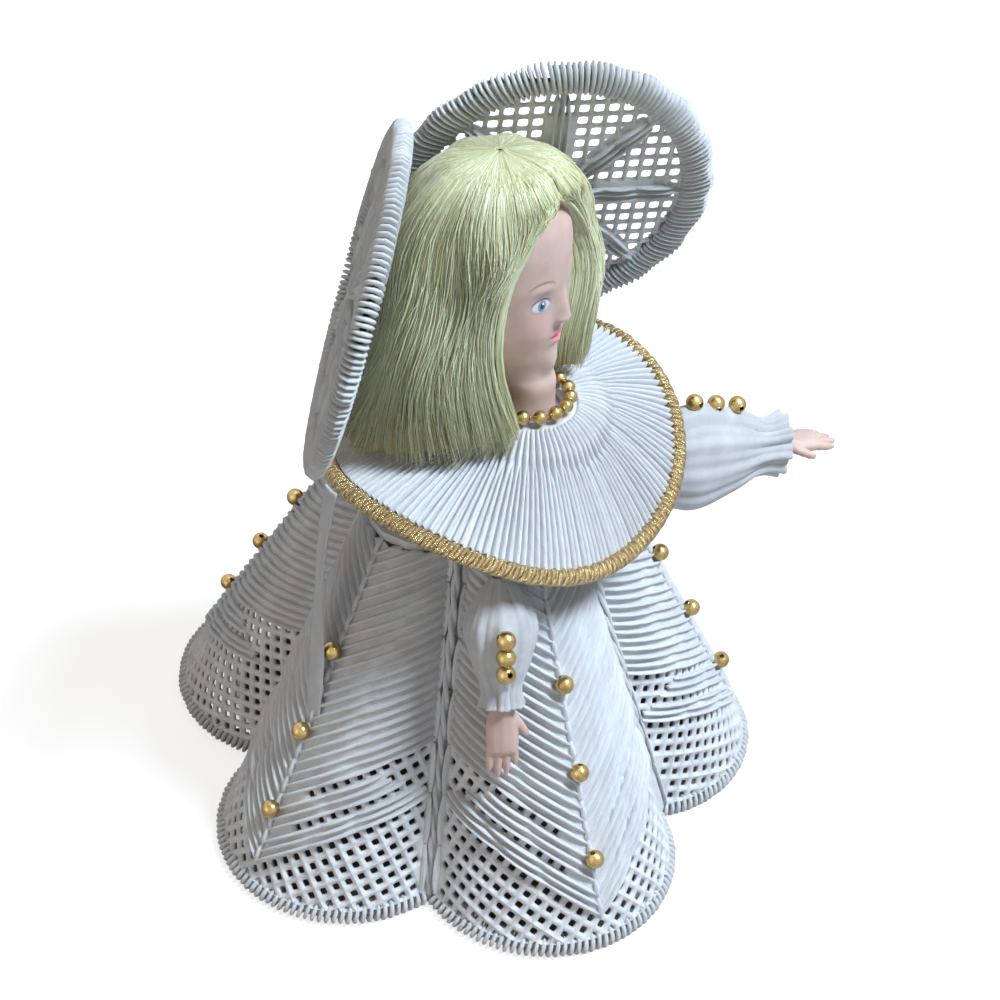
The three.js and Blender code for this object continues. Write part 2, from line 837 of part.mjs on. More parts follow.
function handGeometry(arm, side) {
  const wrist = ovalRing(-wristInsertion, wristRadius, wristRadius, palmSides);
  const rings = [wrist, ovalRing(0, wristRadius, wristRadius, palmSides)];
  for (const [share, thick, wide] of palmSectionShares) {
    const [halfThickness, halfWidth] = [thick * palmHalfThickness, wide * palmHalfWidth];
    rings.push(ovalRing(share * handLength, halfThickness, halfWidth, palmSides));
  }
  let hand = toSolid(loft(rings));
  const knuckle = knuckleShare * handLength;
  fingerTipShares.forEach((tipShare, i) => {
    const across = (i - (fingerTipShares.length - 1) / 2) * 2 * fingerRadius;
    const from = new THREE.Vector3(knuckle, across, 0);
    const to = new THREE.Vector3(tipShare * handLength, across * fingerSpreadShare, -fingerRadius);
    hand = hand.add(toSolid(fingerGeometry(from, to)));
  });
  const thumbRoot = new THREE.Vector3(palmHalfThickness, side * palmHalfWidth * thumbRootShare, 0);
  const thumbTip = new THREE.Vector3(knuckle, side * palmHalfWidth * thumbTipShare, -fingerRadius);
  hand = hand.add(toSolid(fingerGeometry(thumbRoot, thumbTip)));
  return toGeometry(hand).translate(arm.length, 0, 0);
}

function pivotPoint(arm) {
  return planPoint(arm.pivotReach, arm.turn, arm.pivotHeight);
}

// The stem comes out of the bodice, bends over the top of the skirt and ends in the knot
// that the arm turns on.
function shoulderWireGeometry(arm) {
  const shoulder = planPoint(wireShoulderReach, arm.turn, wireShoulderHeight);
  const axis = bodyAxis.clone().setZ(wireShoulderHeight);
  const outward = shoulder.clone().sub(axis).normalize();
  const from = axis.clone().addScaledVector(outward, bodiceMiddleRadius + seatGap);
  const inner = toSolid(straightRod(from, shoulder, wireRadius, wireSides));
  const outer = toSolid(straightRod(shoulder, pivotPoint(arm), wireRadius, wireSides));
  const bend = toSolid(ballAt(shoulder, wireRadius));
  const knot = toSolid(ballAt(pivotPoint(arm), wireKnotRadius));
  return toGeometry(inner.add(outer).add(bend).add(knot));
}

function ballAt(centre, radius) {
  const ball = new THREE.SphereGeometry(radius, wireSides, wireSides - 1);
  return ball.translate(centre.x, centre.y, centre.z);
}

function buildArm(name, arm, thumbSide) {
  addPiece(model, "shoulder_wire_" + name, shoulderWireGeometry(arm), wireWhite);
  const group = new THREE.Group();
  group.position.copy(pivotPoint(arm));
  group.rotation.set(0, -arm.pitch, arm.turn, "ZYX");
  model.add(group);
  const wireFrom = new THREE.Vector3(wireKnotRadius + seatGap, 0, 0);
  const wireTo = new THREE.Vector3(arm.length - wristInsertion - seatGap, 0, 0);
  const wire = straightRod(wireFrom, wireTo, wireRadius, wireSides);
  addPiece(group, "arm_wire_" + name, wire, wireWhite);
  addPiece(group, "sleeve_" + name, sleeveGeometry(arm), satinWhite);
  addPiece(group, "hand_" + name, handGeometry(arm, thumbSide), skinPink);
  sleeveBeadShares.forEach((share, i) => {
    const bead = addPiece(group, "sleeve_bead_" + name + "_" + (i + 1), beadGeometry(), goldMetal);
    const along = THREE.MathUtils.lerp(sleeveMouth, arm.length, share);
    bead.position.set(along, 0, sleeveTopAt(arm, share) + beadRadius + seatGap);
  });
}

// One opening of a wing: it spans from one turn to another, less half a bar on each side.
function wingHole([inner, outer], [start, end], [leftBar, rightBar]) {
  const left = (r) => start + leftBar / (2 * r);
  const right = (r) => end - rightBar / (2 * r);
  const corners = [
    [inner, left(inner)],
    [outer, left(outer)],
    [outer, right(outer)],
    [inner, right(inner)],
  ];
  return new THREE.Path(corners.map(([r, a]) => new THREE.Vector2(r * Math.cos(a), r * Math.sin(a))));
}

// Openings of a wing between two rays, in rows from the hub to the binding.
function wingHoles() {
  const holes = [];
  const edge = wingRadius - bindingDepth - wingBarWidth;
  const depth = (edge - wingHubRadius) / wingHoleRows.length;
  for (let ray = 0; ray < wingRays; ray++) {
    wingHoleRows.forEach((count, row) => {
      const inner = wingHubRadius + row * depth;
      const outer = inner + depth - wingBarWidth;
      const span = (2 * Math.PI) / (wingRays * count);
      for (let i = 0; i < count; i++) {
        const start = (ray * count + i) * span;
        const leftBar = i === 0 ? wingRayWidth : wingBarWidth;
        const rightBar = i === count - 1 ? wingRayWidth : wingBarWidth;
        holes.push(wingHole([inner, outer], [start, start + span], [leftBar, rightBar]));
      }
    });
  }
  return holes;
}

function wingGeometry() {
  const outline = new THREE.Shape();
  for (let i = 0; i < wingSegments; i++) {
    const a = (i * 2 * Math.PI) / wingSegments;
    const [x, y] = [wingRadius * Math.cos(a), wingRadius * Math.sin(a)];
    if (i === 0) outline.moveTo(x, y);
    else outline.lineTo(x, y);
  }
  outline.closePath();
  outline.holes.push(...wingHoles());
  const options = { depth: wingThickness, bevelEnabled: false };
  return new THREE.ExtrudeGeometry(outline, options).translate(0, 0, -wingThickness / 2);
}

const bindingInside = wingThickness / 2 + seatGap;
const bindingOutside = bindingInside + bindingWall;
const bindingRadius = wingRadius + seatGap + bindingWall;

// The stitched binding folds over the edge of the wing and covers a band of both faces.
function bindingGeometry() {
  const band = wingRadius - bindingDepth;
  const edge = wingRadius + seatGap;
  const profile = [
    [band, bindingInside],
    [band, bindingOutside],
    [bindingRadius, bindingOutside],
    [bindingRadius, -bindingOutside],
    [band, -bindingOutside],
    [band, -bindingInside],
    [edge, -bindingInside],
    [edge, bindingInside],
    [band, bindingInside],
  ];
  return turned(profile.reverse(), wingSegments);
}

// Axes of a wing: along from its root, up its face, and out of its back.
function wingAxes(side) {
  const along = new THREE.Vector3(side * Math.cos(wingSweep), -Math.sin(wingSweep), 0);
  const back = new THREE.Vector3(side * Math.sin(wingSweep), Math.cos(wingSweep), 0);
  const up = new THREE.Vector3(0, 0, Math.cos(wingLean)).addScaledVector(back, -Math.sin(wingLean));
  const vertical = new THREE.Vector3(0, 0, 1);
  for (const axis of [along, back, up]) axis.applyAxisAngle(vertical, wingPairTurn);
  return { along, up, back };
}

function wingCentre(side, lift) {
  const centre = new THREE.Vector3(side * wingReach, wingBack, wingHeight);
  centre.applyAxisAngle(new THREE.Vector3(0, 0, 1), wingPairTurn);
  return centre.addScaledVector(wingAxes(side).up, lift);
}

// Whether a wing lifted this far stands clear of the cape's rope.
function wingClears(side, lift) {
  const { along, up } = wingAxes(side);
  const out = up.clone().cross(along);
  const centre = wingCentre(side, lift);
  const clear = ropeRadius + seatGap;
  for (let i = 0; i < capeSteps; i++) {
    const fromRope = ropeCentre((i * 2 * Math.PI) / capeSteps).sub(centre);
    const depth = Math.abs(fromRope.dot(out));
    const inFace = Math.sqrt(Math.max(0, fromRope.lengthSq() - depth ** 2));
    if (depth < bindingOutside + clear && inFace < bindingRadius + clear) return false;
  }
  return true;
}

// Both wings rest at the same height, on the rope of the cape.
function wingPairLift() {
  let lift = 0;
  while (!wingClears(1, lift) || !wingClears(-1, lift)) lift += wingLiftStep;
  return lift;
}

const wingLift = wingPairLift();

function buildWing(name, side) {
  const { along, up } = wingAxes(side);
  const normal = along.clone().cross(up);
  const group = new THREE.Group();
  group.quaternion.setFromRotationMatrix(new THREE.Matrix4().makeBasis(along, up, normal));
  group.position.copy(wingCentre(side, wingLift));
  model.add(group);
  addPiece(group, "wing_" + name, wingGeometry(), canvasWhite);
  addPiece(group, "wing_binding_" + name, bindingGeometry(), yarnWhite);
}

// The two wings are stitched to each other where their edges come together at the back.
function rootSeamGeometry() {
  const edgeOf = (side) => {
    return wingCentre(side, wingLift).addScaledVector(wingAxes(side).along, -bindingRadius);
  };
  const [left, right] = [edgeOf(1), edgeOf(-1)];
  const middle = left.clone().add(right).divideScalar(2);
  const radius = (left.distanceTo(right) / 2) * Math.cos(wingSweep) - seatGap;
  const half = new THREE.Vector3(0, 0, rootSeamLength / 2);
  return straightRod(middle.clone().sub(half), middle.clone().add(half), radius, seamSides);
}

// The ribbon is knotted on the outside of the rope, and its end rests on a gore by a bead.
function ribbonGeometry() {
  const half = ribbonThickness / 2;
  const offset = planPoint(ropeRadius + seatGap + half, ribbonTopTurn, 0);
  const knot = ropeCentre(ribbonTopTurn).add(offset);
  const hanging = ribbonTurns.map((turn, i) => {
    return planPoint(ribbonReaches[i], turn, ribbonHeights[i]);
  });
  const rings = [knot, ...hanging].map((centre, i) => {
    const turn = i === 0 ? ribbonTopTurn : Math.atan2(centre.y, centre.x);
    const out = planPoint(half, turn, 0);
    const wide = planPoint(ribbonHalfWidth, turn + Math.PI / 2, 0);
    return [
      centre.clone().add(out).add(wide),
      centre.clone().add(out).sub(wide),
      centre.clone().sub(out).sub(wide),
      centre.clone().sub(out).add(wide),
    ];
  });
  return loft(rings);
}

buildSkirt();
buildBody();
buildArm("left", arms.left, -1);
buildArm("right", arms.right, 1);
buildWing("left", 1);
buildWing("right", -1);
addPiece(model, "wing_root_seam", rootSeamGeometry(), yarnWhite);
addPiece(model, "back_ribbon", ribbonGeometry(), satinWhite);

// The origin lies under the middle of the whole doll.
const middle = new THREE.Box3().setFromObject(model, true).getCenter(new THREE.Vector3());
model.position.set(-middle.x, -middle.y, 0);

export default model;
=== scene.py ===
import math

import bpy
import numpy as np
from mathutils import Matrix, Vector


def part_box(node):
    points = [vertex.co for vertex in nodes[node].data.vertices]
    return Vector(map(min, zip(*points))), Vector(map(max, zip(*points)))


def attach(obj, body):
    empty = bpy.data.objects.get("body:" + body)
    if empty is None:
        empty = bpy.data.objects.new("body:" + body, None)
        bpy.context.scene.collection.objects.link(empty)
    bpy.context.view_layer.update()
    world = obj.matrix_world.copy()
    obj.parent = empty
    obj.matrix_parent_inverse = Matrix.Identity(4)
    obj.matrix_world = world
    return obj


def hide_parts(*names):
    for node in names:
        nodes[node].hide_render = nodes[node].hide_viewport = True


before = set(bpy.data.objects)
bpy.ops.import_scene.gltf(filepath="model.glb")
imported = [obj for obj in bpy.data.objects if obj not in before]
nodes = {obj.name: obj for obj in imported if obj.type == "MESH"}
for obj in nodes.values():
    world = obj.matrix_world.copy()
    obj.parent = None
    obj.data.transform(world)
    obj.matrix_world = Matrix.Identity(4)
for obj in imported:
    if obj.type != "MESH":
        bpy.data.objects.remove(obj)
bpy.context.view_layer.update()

rng = np.random.default_rng(11)
mm = 0.001
# everything below is worked out in millimetres around the skirt's own axis
skirtAxis = np.array([-0.44, -10.3, 0.0])


def unit(v):
    v = np.asarray(v, float)
    return v / np.maximum(np.linalg.norm(v, axis=-1, keepdims=True), 1e-9)


def polar(reach, turn, height):
    return np.stack(np.broadcast_arrays(reach * np.cos(turn), reach * np.sin(turn), height), -1)


def bell(x, width):
    return np.exp(-((x / width) ** 2))


def smooth(x, low, high):
    t = np.clip((x - low) / (high - low), 0, 1)
    return t * t * (3 - 2 * t)


def ringTurns(count):
    return np.arange(count) * 2 * math.pi / count


def nearTurn(angle):
    return (angle + math.pi) % (2 * math.pi) - math.pi   # the same turn, from -pi to pi


def turned(v, degrees):
    c, s = math.cos(math.radians(degrees)), math.sin(math.radians(degrees))
    return np.array([v[0] * c - v[1] * s, v[0] * s + v[1] * c, v[2]])


def curveThrough(table, at):
    # smooth reading of a table of rows [x, values...]
    table = np.asarray(table, float)
    x = table[:, 0]
    slope = np.gradient(table[:, 1:], x, axis=0)
    i = np.clip(np.searchsorted(x, at) - 1, 0, len(x) - 2)
    h = (x[i + 1] - x[i])
    t = ((np.asarray(at) - x[i]) / h)[..., None]
    h = h[..., None]
    a, b = table[i, 1:], table[i + 1, 1:]
    return ((2 * t**3 - 3 * t**2 + 1) * a + (t**3 - 2 * t**2 + t) * h * slope[i]
            + (-2 * t**3 + 3 * t**2) * b + (t**3 - t**2) * h * slope[i + 1])


# shader helpers

def newMaterial(name):
    mat = bpy.data.materials.new(name)
    mat.use_nodes = True
    tree = mat.node_tree
    tree.nodes.clear()
    shader = tree.nodes.new("ShaderNodeBsdfPrincipled")
    out = tree.nodes.new("ShaderNodeOutputMaterial")
    tree.links.new(shader.outputs[0], out.inputs["Surface"])
    return mat, tree, shader


def feed(tree, node, inputs):
    # an input is linked where its value is a socket, and set where it is a plain value
    for key, value in inputs.items():
        if isinstance(value, bpy.types.NodeSocket):
            tree.links.new(value, node.inputs[key])
        else:
            node.inputs[key].default_value = value


def put(tree, kind, inputs=None, **settings):
    node = tree.nodes.new(kind)
    for key, value in settings.items():
        setattr(node, key, value)
    feed(tree, node, inputs or {})
    return node


def calc(tree, operation, a, b=0.0, clamp=False):
    return put(tree, "ShaderNodeMath", {0: a, 1: b}, operation=operation, use_clamp=clamp).outputs[0]


def readAttribute(tree, name, output="Fac"):
    return put(tree, "ShaderNodeAttribute", attribute_name=name).outputs[output]


def sumOf(tree, a, partA, b, partB):
    return calc(tree, "ADD", calc(tree, "MULTIPLY", a, partA), calc(tree, "MULTIPLY", b, partB))


def ownPlace(tree):
    return put(tree, "ShaderNodeTexCoord").outputs["Object"]


def joinXYZ(tree, x, y, z):
    return put(tree, "ShaderNodeCombineXYZ", {0: x, 1: y, 2: z}).outputs[0]


def ramp(tree, factor, stops):
    node = put(tree, "ShaderNodeValToRGB", {0: factor})
    band = node.color_ramp
    while len(band.elements) < len(stops):
        band.elements.new(0.5)
    for element, (place, color) in zip(band.elements, stops):
        element.position = place
        element.color = (*color, 1)
    return node.outputs[0]


def mixColor(tree, factor, a, b, blend="MIX"):
    a, b = [(*color, 1) if isinstance(color, tuple) else color for color in (a, b)]
    return put(tree, "ShaderNodeMix", {0: factor, 6: a, 7: b}, data_type="RGBA", blend_type=blend).outputs[2]


def remap(tree, value, fromLow=0.0, fromHigh=1.0, toLow=0.0, toHigh=1.0, kind="LINEAR"):
    return put(tree, "ShaderNodeMapRange", {"Value": value, "From Min": fromLow, "From Max": fromHigh,
               "To Min": toLow, "To Max": toHigh}, interpolation_type=kind).outputs[0]


def stretched(tree, place, scale):
    return put(tree, "ShaderNodeMapping", {"Vector": place, "Scale": scale}).outputs[0]


def vectorMath(tree, operation, a, b=(0, 0, 0)):
    return put(tree, "ShaderNodeVectorMath", {0: a, 1: b}, operation=operation)


def bump(tree, height, distance, strength=1.0):
    return put(tree, "ShaderNodeBump", {"Height": height, "Distance": distance,
                                        "Strength": strength}).outputs[0]


def noiseAt(tree, vector, scale, detail=3.0, rough=0.6):
    return put(tree, "ShaderNodeTexNoise", {"Vector": vector, "Scale": scale, "Detail": detail,
                                            "Roughness": rough}).outputs[0]


# plied yarn: the strand pieces carry along, around and tone
def yarnMaterial(name, light, dark, twist=0.0052, plies=3.0, metal=0.0, rough=0.85, sheen=0.35,
                 depth=0.00032):
    mat, tree, shader = newMaterial(name)
    along = readAttribute(tree, "along")
    around = readAttribute(tree, "around")
    tone = readAttribute(tree, "tone")
    phase = calc(tree, "ADD", calc(tree, "MULTIPLY", around, plies), calc(tree, "DIVIDE", along, twist))
    ply = calc(tree, "ABSOLUTE", calc(tree, "SINE", calc(tree, "MULTIPLY", phase, math.pi)))
    ply = calc(tree, "POWER", ply, 0.6)
    lean = joinXYZ(tree, calc(tree, "MULTIPLY", along, 260.0), calc(tree, "MULTIPLY", phase, 5.0),
                   calc(tree, "MULTIPLY", tone, 31.0))
    fibre = noiseAt(tree, lean, 2.4, 5.0, 0.7)
    place = ownPlace(tree)
    patch = noiseAt(tree, place, 55.0, 2.0)
    height = sumOf(tree, ply, 0.6 if metal else 0.32, fibre, 0.7)
    # painted shade: the grooves between the plies take the darker colour and the crests the lighter one; the
    # fibre noise adds random tone
    shade = sumOf(tree, ply, 0.62 if metal else 0.26, fibre, 0.5)
    if metal == 0:
        shade = calc(tree, "ADD", shade, 0.32)
    base = mixColor(tree, calc(tree, "MULTIPLY", shade, 1.0, True), dark, light)
    worn = mixColor(tree, calc(tree, "MULTIPLY", patch, 0.22), base, dark)
    shift = calc(tree, "ADD", calc(tree, "MULTIPLY", tone, 0.12), 0.92)
    final = mixColor(tree, 1.0, worn, joinXYZ(tree, shift, shift, shift), "MULTIPLY")
    feed(tree, shader, {
        "Base Color": final, "Roughness": rough, "Metallic": metal, "Sheen Weight": sheen,
        "Sheen Roughness": 0.5, "Normal": bump(tree, height, depth),
    })
    if metal == 0:
        feed(tree, shader, {"Subsurface Weight": 0.12, "Subsurface Scale": 0.002})
    return mat


whiteYarn = yarnMaterial("whiteYarn", (0.82, 0.84, 0.87), (0.68, 0.69, 0.71))
hemYarn = yarnMaterial("hemYarn", (0.79, 0.81, 0.83), (0.58, 0.58, 0.59))
# painted shade with dirt: the wing yarn is the white yarn made darker, for the shade the wings lie in
# together with their dirt
wingYarn = yarnMaterial("wingYarn", (0.74, 0.78, 0.80), (0.58, 0.61, 0.62))
goldYarn = yarnMaterial("goldYarn", (0.88, 0.70, 0.38), (0.15, 0.09, 0.03), twist=0.0022, plies=4.0,
                        metal=0.92, rough=0.22, sheen=0.0, depth=0.0006)


def canvasMaterial():
    mat, tree, shader = newMaterial("canvasBars")
    place = ownPlace(tree)
    coarse = noiseAt(tree, place, 180.0, 3.0)
    fine = noiseAt(tree, place, 2600.0, 4.0, 0.7)
    color = ramp(tree, coarse, [(0.3, (0.60, 0.61, 0.63)), (0.7, (0.77, 0.79, 0.81))])
    height = sumOf(tree, coarse, 0.5, fine, 0.5)
    feed(tree, shader, {
        "Base Color": color, "Roughness": 0.62, "Sheen Weight": 0.15,
        "Subsurface Weight": 0.15, "Subsurface Scale": 0.002,
        "Normal": bump(tree, height, 0.00015),
    })
    return mat


canvasBars = canvasMaterial()


def goldBeadMaterial():
    mat, tree, shader = newMaterial("goldBead")
    place = ownPlace(tree)
    blotch = noiseAt(tree, place, 420.0, 3.0)
    scratch = noiseAt(tree, stretched(tree, place, (1.0, 1.0, 9.0)), 1500.0, 4.0)
    color = ramp(tree, blotch, [(0.25, (0.34, 0.22, 0.07)), (0.6, (0.62, 0.46, 0.20)),
                                (0.9, (0.82, 0.68, 0.40))])
    rough = remap(tree, scratch, toLow=0.12, toHigh=0.34)
    feed(tree, shader, {"Base Color": color, "Metallic": 1.0, "Roughness": rough,
                             "Normal": bump(tree, scratch, 0.00004)})
    return mat


goldBead = goldBeadMaterial()


def satinMaterial():
    mat, tree, shader = newMaterial("satinCloth")
    place = put(tree, "ShaderNodeTexCoord").outputs["UV"]
    thread = put(tree, "ShaderNodeTexWave", {"Vector": place, "Scale": 190.0, "Distortion": 0.4,
                                             "Detail": 1.0}, wave_type="BANDS").outputs["Fac"]
    weft = put(tree, "ShaderNodeTexWave", {"Vector": place, "Scale": 160.0, "Distortion": 0.5},
               bands_direction="Y").outputs["Fac"]
    cloud = noiseAt(tree, place, 7.0, 3.0)
    color = ramp(tree, cloud, [(0.3, (0.64, 0.65, 0.68)), (0.75, (0.80, 0.82, 0.85))])
    height = calc(tree, "ADD", thread, calc(tree, "MULTIPLY", weft, 0.6))
    feed(tree, shader, {
        "Base Color": color, "Roughness": 0.42, "Sheen Weight": 0.4, "Sheen Roughness": 0.35,
        "Anisotropic": 0.5, "Normal": bump(tree, height, 0.00006, 0.7),
    })
    return mat


satinCloth = satinMaterial()


def hairMaterial(name, light, dark):
    mat, tree, shader = newMaterial(name)
    along = readAttribute(tree, "along")
    tone = readAttribute(tree, "tone")
    place = ownPlace(tree)
    streak = noiseAt(tree, stretched(tree, place, (1.0, 1.0, 0.12)), 900.0, 4.0)
    mixed = sumOf(tree, tone, 0.7, streak, 0.5)
    wave = calc(tree, "MULTIPLY", calc(tree, "SINE", calc(tree, "MULTIPLY", along, 160.0)), 0.08)
    # painted shade: the first 26 mm from the crown are darker, for the shadow the crown lies in
    crownShade = remap(tree, along, fromHigh=0.026, toLow=0.3, toHigh=0.0)
    shade = calc(tree, "SUBTRACT", calc(tree, "ADD", mixed, wave), crownShade)
    color = ramp(tree, shade, [(0.2, dark), (0.85, light)])
    feed(tree, shader, {
        "Base Color": color, "Roughness": 0.38, "Anisotropic": 0.6, "Sheen Weight": 0.25,
        "Subsurface Weight": 0.2, "Subsurface Scale": 0.002, "Coat Weight": 0.1,
        "Normal": bump(tree, streak, 0.0003, 0.8),
    })
    return mat


hairStrand = hairMaterial("hairStrand", (0.84, 0.84, 0.57), (0.50, 0.46, 0.22))
# painted shade: the shell under the strands is a darker copy of the hair colours, for the shade deep in the
# hair
hairUnder = hairMaterial("hairUnder", (0.66, 0.63, 0.36), (0.34, 0.30, 0.12))


def stemMaterial():
    mat, tree, shader = newMaterial("stemFuzz")
    place = ownPlace(tree)
    fuzz = noiseAt(tree, place, 1500.0, 5.0, 0.8)
    color = ramp(tree, fuzz, [(0.3, (0.55, 0.55, 0.56)), (0.7, (0.85, 0.85, 0.86))])
    feed(tree, shader, {"Base Color": color, "Roughness": 0.95, "Sheen Weight": 0.8,
                             "Normal": bump(tree, fuzz, 0.0006)})
    return mat


stemFuzz = stemMaterial()
print("materials ready")


# building helpers

def addObject(name, data):
    piece = bpy.data.objects.new(name, data)
    bpy.context.scene.collection.objects.link(piece)
    return piece


def meshPiece(name, verts, faces, mat, uv=None):
    mesh = bpy.data.meshes.new(name)
    mesh.from_pydata((np.asarray(verts) * mm).tolist(), [], faces)
    mesh.validate()
    mesh.polygons.foreach_set("use_smooth", np.ones(len(mesh.polygons), bool))
    if uv is not None:
        layer = mesh.uv_layers.new(name="flatCloth")
        loopVerts = np.empty(len(mesh.loops), int)
        mesh.loops.foreach_get("vertex_index", loopVerts)
        layer.data.foreach_set("uv", np.asarray(uv)[loopVerts].astype(np.float32).ravel())
    mesh.materials.append(mat)
    return addObject(name, mesh)


def keepResult(piece):
    graph = bpy.context.evaluated_depsgraph_get()
    made = bpy.data.meshes.new_from_object(piece.evaluated_get(graph))
    piece.modifiers.clear()
    piece.data = made
    return made


def thicken(piece, thickness):
    cloth = piece.modifiers.new("cloth", "SOLIDIFY")
    cloth.thickness = thickness * mm
    cloth.offset = -1
    keepResult(piece)


def gridFaces(rows, cols, wrap=False):
    faces = []
    for i in range(rows - 1):
        for j in range(cols if wrap else cols - 1):
            k = (j + 1) % cols
            faces.append((i * cols + j, i * cols + k, (i + 1) * cols + k, (i + 1) * cols + j))
    return faces


def joinRows(faces, rows, cols):
    # closes a tube of rows by joining its last row to the first
    last = (rows - 1) * cols
    for j in range(cols):
        k = (j + 1) % cols
        faces.append((last + j, last + k, k, j))


squareRing = [(-1, -1), (0, -1), (1, -1), (1, 0), (1, 1), (0, 1), (-1, 1), (-1, 0)]


def canvasCells(cells, front, back, frontLip, backLip):
    # a cell is the ring of its square and, where it is open, the ring of its hole
    flat, lifts, faces, index = [], [], [], {}

    def vert(spot, lift):
        key = (round(spot[0], 2), round(spot[1], 2), round(lift, 2))
        if key not in index:
            index[key] = len(flat)
            flat.append(spot)
            lifts.append(lift)
        return index[key]

    for square, hole in cells:
        upper = [vert(spot, front) for spot in square]
        lower = [vert(spot, back) for spot in square]
        if hole is None:
            faces.append(tuple(upper))
            faces.append(tuple(reversed(lower)))
            continue
        upperIn = [vert(spot, frontLip) for spot in hole]
        lowerIn = [vert(spot, backLip) for spot in hole]
        for a in range(8):
            b = (a + 1) % 8
            faces.append((upper[a], upper[b], upperIn[b], upperIn[a]))
            faces.append((lower[b], lower[a], lowerIn[a], lowerIn[b]))
            faces.append((upperIn[a], upperIn[b], lowerIn[b], lowerIn[a]))
    return np.array(flat), np.array(lifts), faces


def treeWith(name, sockets):
    tree = bpy.data.node_groups.new(name, "GeometryNodeTree")
    tree.interface.new_socket("Geometry", in_out="OUTPUT", socket_type="NodeSocketGeometry")
    tree.interface.new_socket("Geometry", in_out="INPUT", socket_type="NodeSocketGeometry")
    for label, kind in sockets:
        tree.interface.new_socket(label, in_out="INPUT", socket_type=kind)
    start = tree.nodes.new("NodeGroupInput")
    end = tree.nodes.new("NodeGroupOutput")
    return tree, start, end


def finishTree(tree, geometry, material, end):
    real = put(tree, "GeometryNodeRealizeInstances", {0: geometry})
    soft = put(tree, "GeometryNodeSetShadeSmooth", {0: real.outputs[0]})
    dressed = put(tree, "GeometryNodeSetMaterial", {0: soft.outputs[0], "Material": material})
    tree.links.new(dressed.outputs[0], end.inputs[0])


def makeYarnTree():
    tree, start, end = treeWith("yarnStrands", [
        ("Sides", "NodeSocketInt"), ("Width", "NodeSocketFloat"), ("Height", "NodeSocketFloat"),
        ("Material", "NodeSocketMaterial")])
    ask = lambda name, kind: put(tree, "GeometryNodeInputNamedAttribute", {"Name": name},
                                 data_type=kind).outputs[0]
    curve = put(tree, "GeometryNodeMeshToCurve", {0: start.outputs[0]})
    laid = put(tree, "GeometryNodeSetCurveNormal", {0: curve.outputs[0],
               "Normal": ask("lay", "FLOAT_VECTOR")}, mode="FREE")
    length = put(tree, "GeometryNodeSplineParameter").outputs["Length"]
    marked = put(tree, "GeometryNodeStoreNamedAttribute", {0: laid.outputs[0], "Name": "along",
                 "Value": length}, data_type="FLOAT", domain="POINT")
    ring = put(tree, "GeometryNodeCurvePrimitiveCircle", {"Resolution": start.outputs["Sides"],
                                                          "Radius": 0.5})
    part = put(tree, "GeometryNodeSplineParameter").outputs["Factor"]
    ringMarked = put(tree, "GeometryNodeStoreNamedAttribute", {0: ring.outputs[0],
                     "Name": "around", "Value": part}, data_type="FLOAT", domain="POINT")
    size = put(tree, "ShaderNodeCombineXYZ", {0: start.outputs["Width"], 1: start.outputs["Height"],
                                              2: 1.0})
    section = put(tree, "GeometryNodeTransform", {0: ringMarked.outputs[0],
                                                  "Rotation": (0, 0, -math.pi / 2)})
    section = put(tree, "GeometryNodeTransform", {0: section.outputs[0], "Scale": size.outputs[0]})
    skin = put(tree, "GeometryNodeCurveToMesh", {0: marked.outputs[0],
               "Profile Curve": section.outputs[0], "Scale": ask("swell", "FLOAT"),
               "Fill Caps": True})
    finishTree(tree, skin.outputs[0], start.outputs["Material"], end)
    return tree


def makeBeadTree():
    tree, start, end = treeWith("beadScatter", [
        ("Bead", "NodeSocketObject"), ("Size", "NodeSocketFloat"), ("Material", "NodeSocketMaterial")])
    facing = put(tree, "GeometryNodeInputNamedAttribute", {"Name": "facing"},
                 data_type="FLOAT_VECTOR").outputs[0]
    turn = put(tree, "FunctionNodeAlignRotationToVector", {"Vector": facing}, axis="Z")
    shape = put(tree, "GeometryNodeObjectInfo", {"Object": start.outputs["Bead"]})
    spread = put(tree, "GeometryNodeInstanceOnPoints", {
        0: start.outputs[0], "Instance": shape.outputs["Geometry"], "Rotation": turn.outputs[0],
        "Scale": start.outputs["Size"]})
    finishTree(tree, spread.outputs[0], start.outputs["Material"], end)
    return tree


yarnTree = makeYarnTree()
beadTree = makeBeadTree()


def grow(obj, tree, values):
    # runs a tree on obj and keeps the result as a plain mesh
    mod = obj.modifiers.new("grow", "NODES")
    mod.node_group = tree
    for item in tree.interface.items_tree:
        if item.item_type == "SOCKET" and item.in_out == "INPUT" and item.name in values:
            mod[item.identifier] = values[item.name]
    old = obj.data
    keepResult(obj).name = obj.name
    bpy.data.meshes.remove(old)
    return obj


def strand(points, lay, swell=1.0, tone=None, loop=False):
    # its points, the way its broad side faces, its thickness and its own shade
    points = np.asarray(points, float)
    lay = np.broadcast_to(np.asarray(lay, float), points.shape)
    swell = np.broadcast_to(np.asarray(swell, float), (len(points),))
    return points, lay, swell, rng.random() if tone is None else tone, loop


def ply(line, across, away, turns, offset, swell=1.0, loop=False):
    # one ply of a cord, wound round its line
    ring = across * np.cos(turns)[:, None] + away * np.sin(turns)[:, None]
    return strand(line + ring * offset, ring, swell, loop=loop)


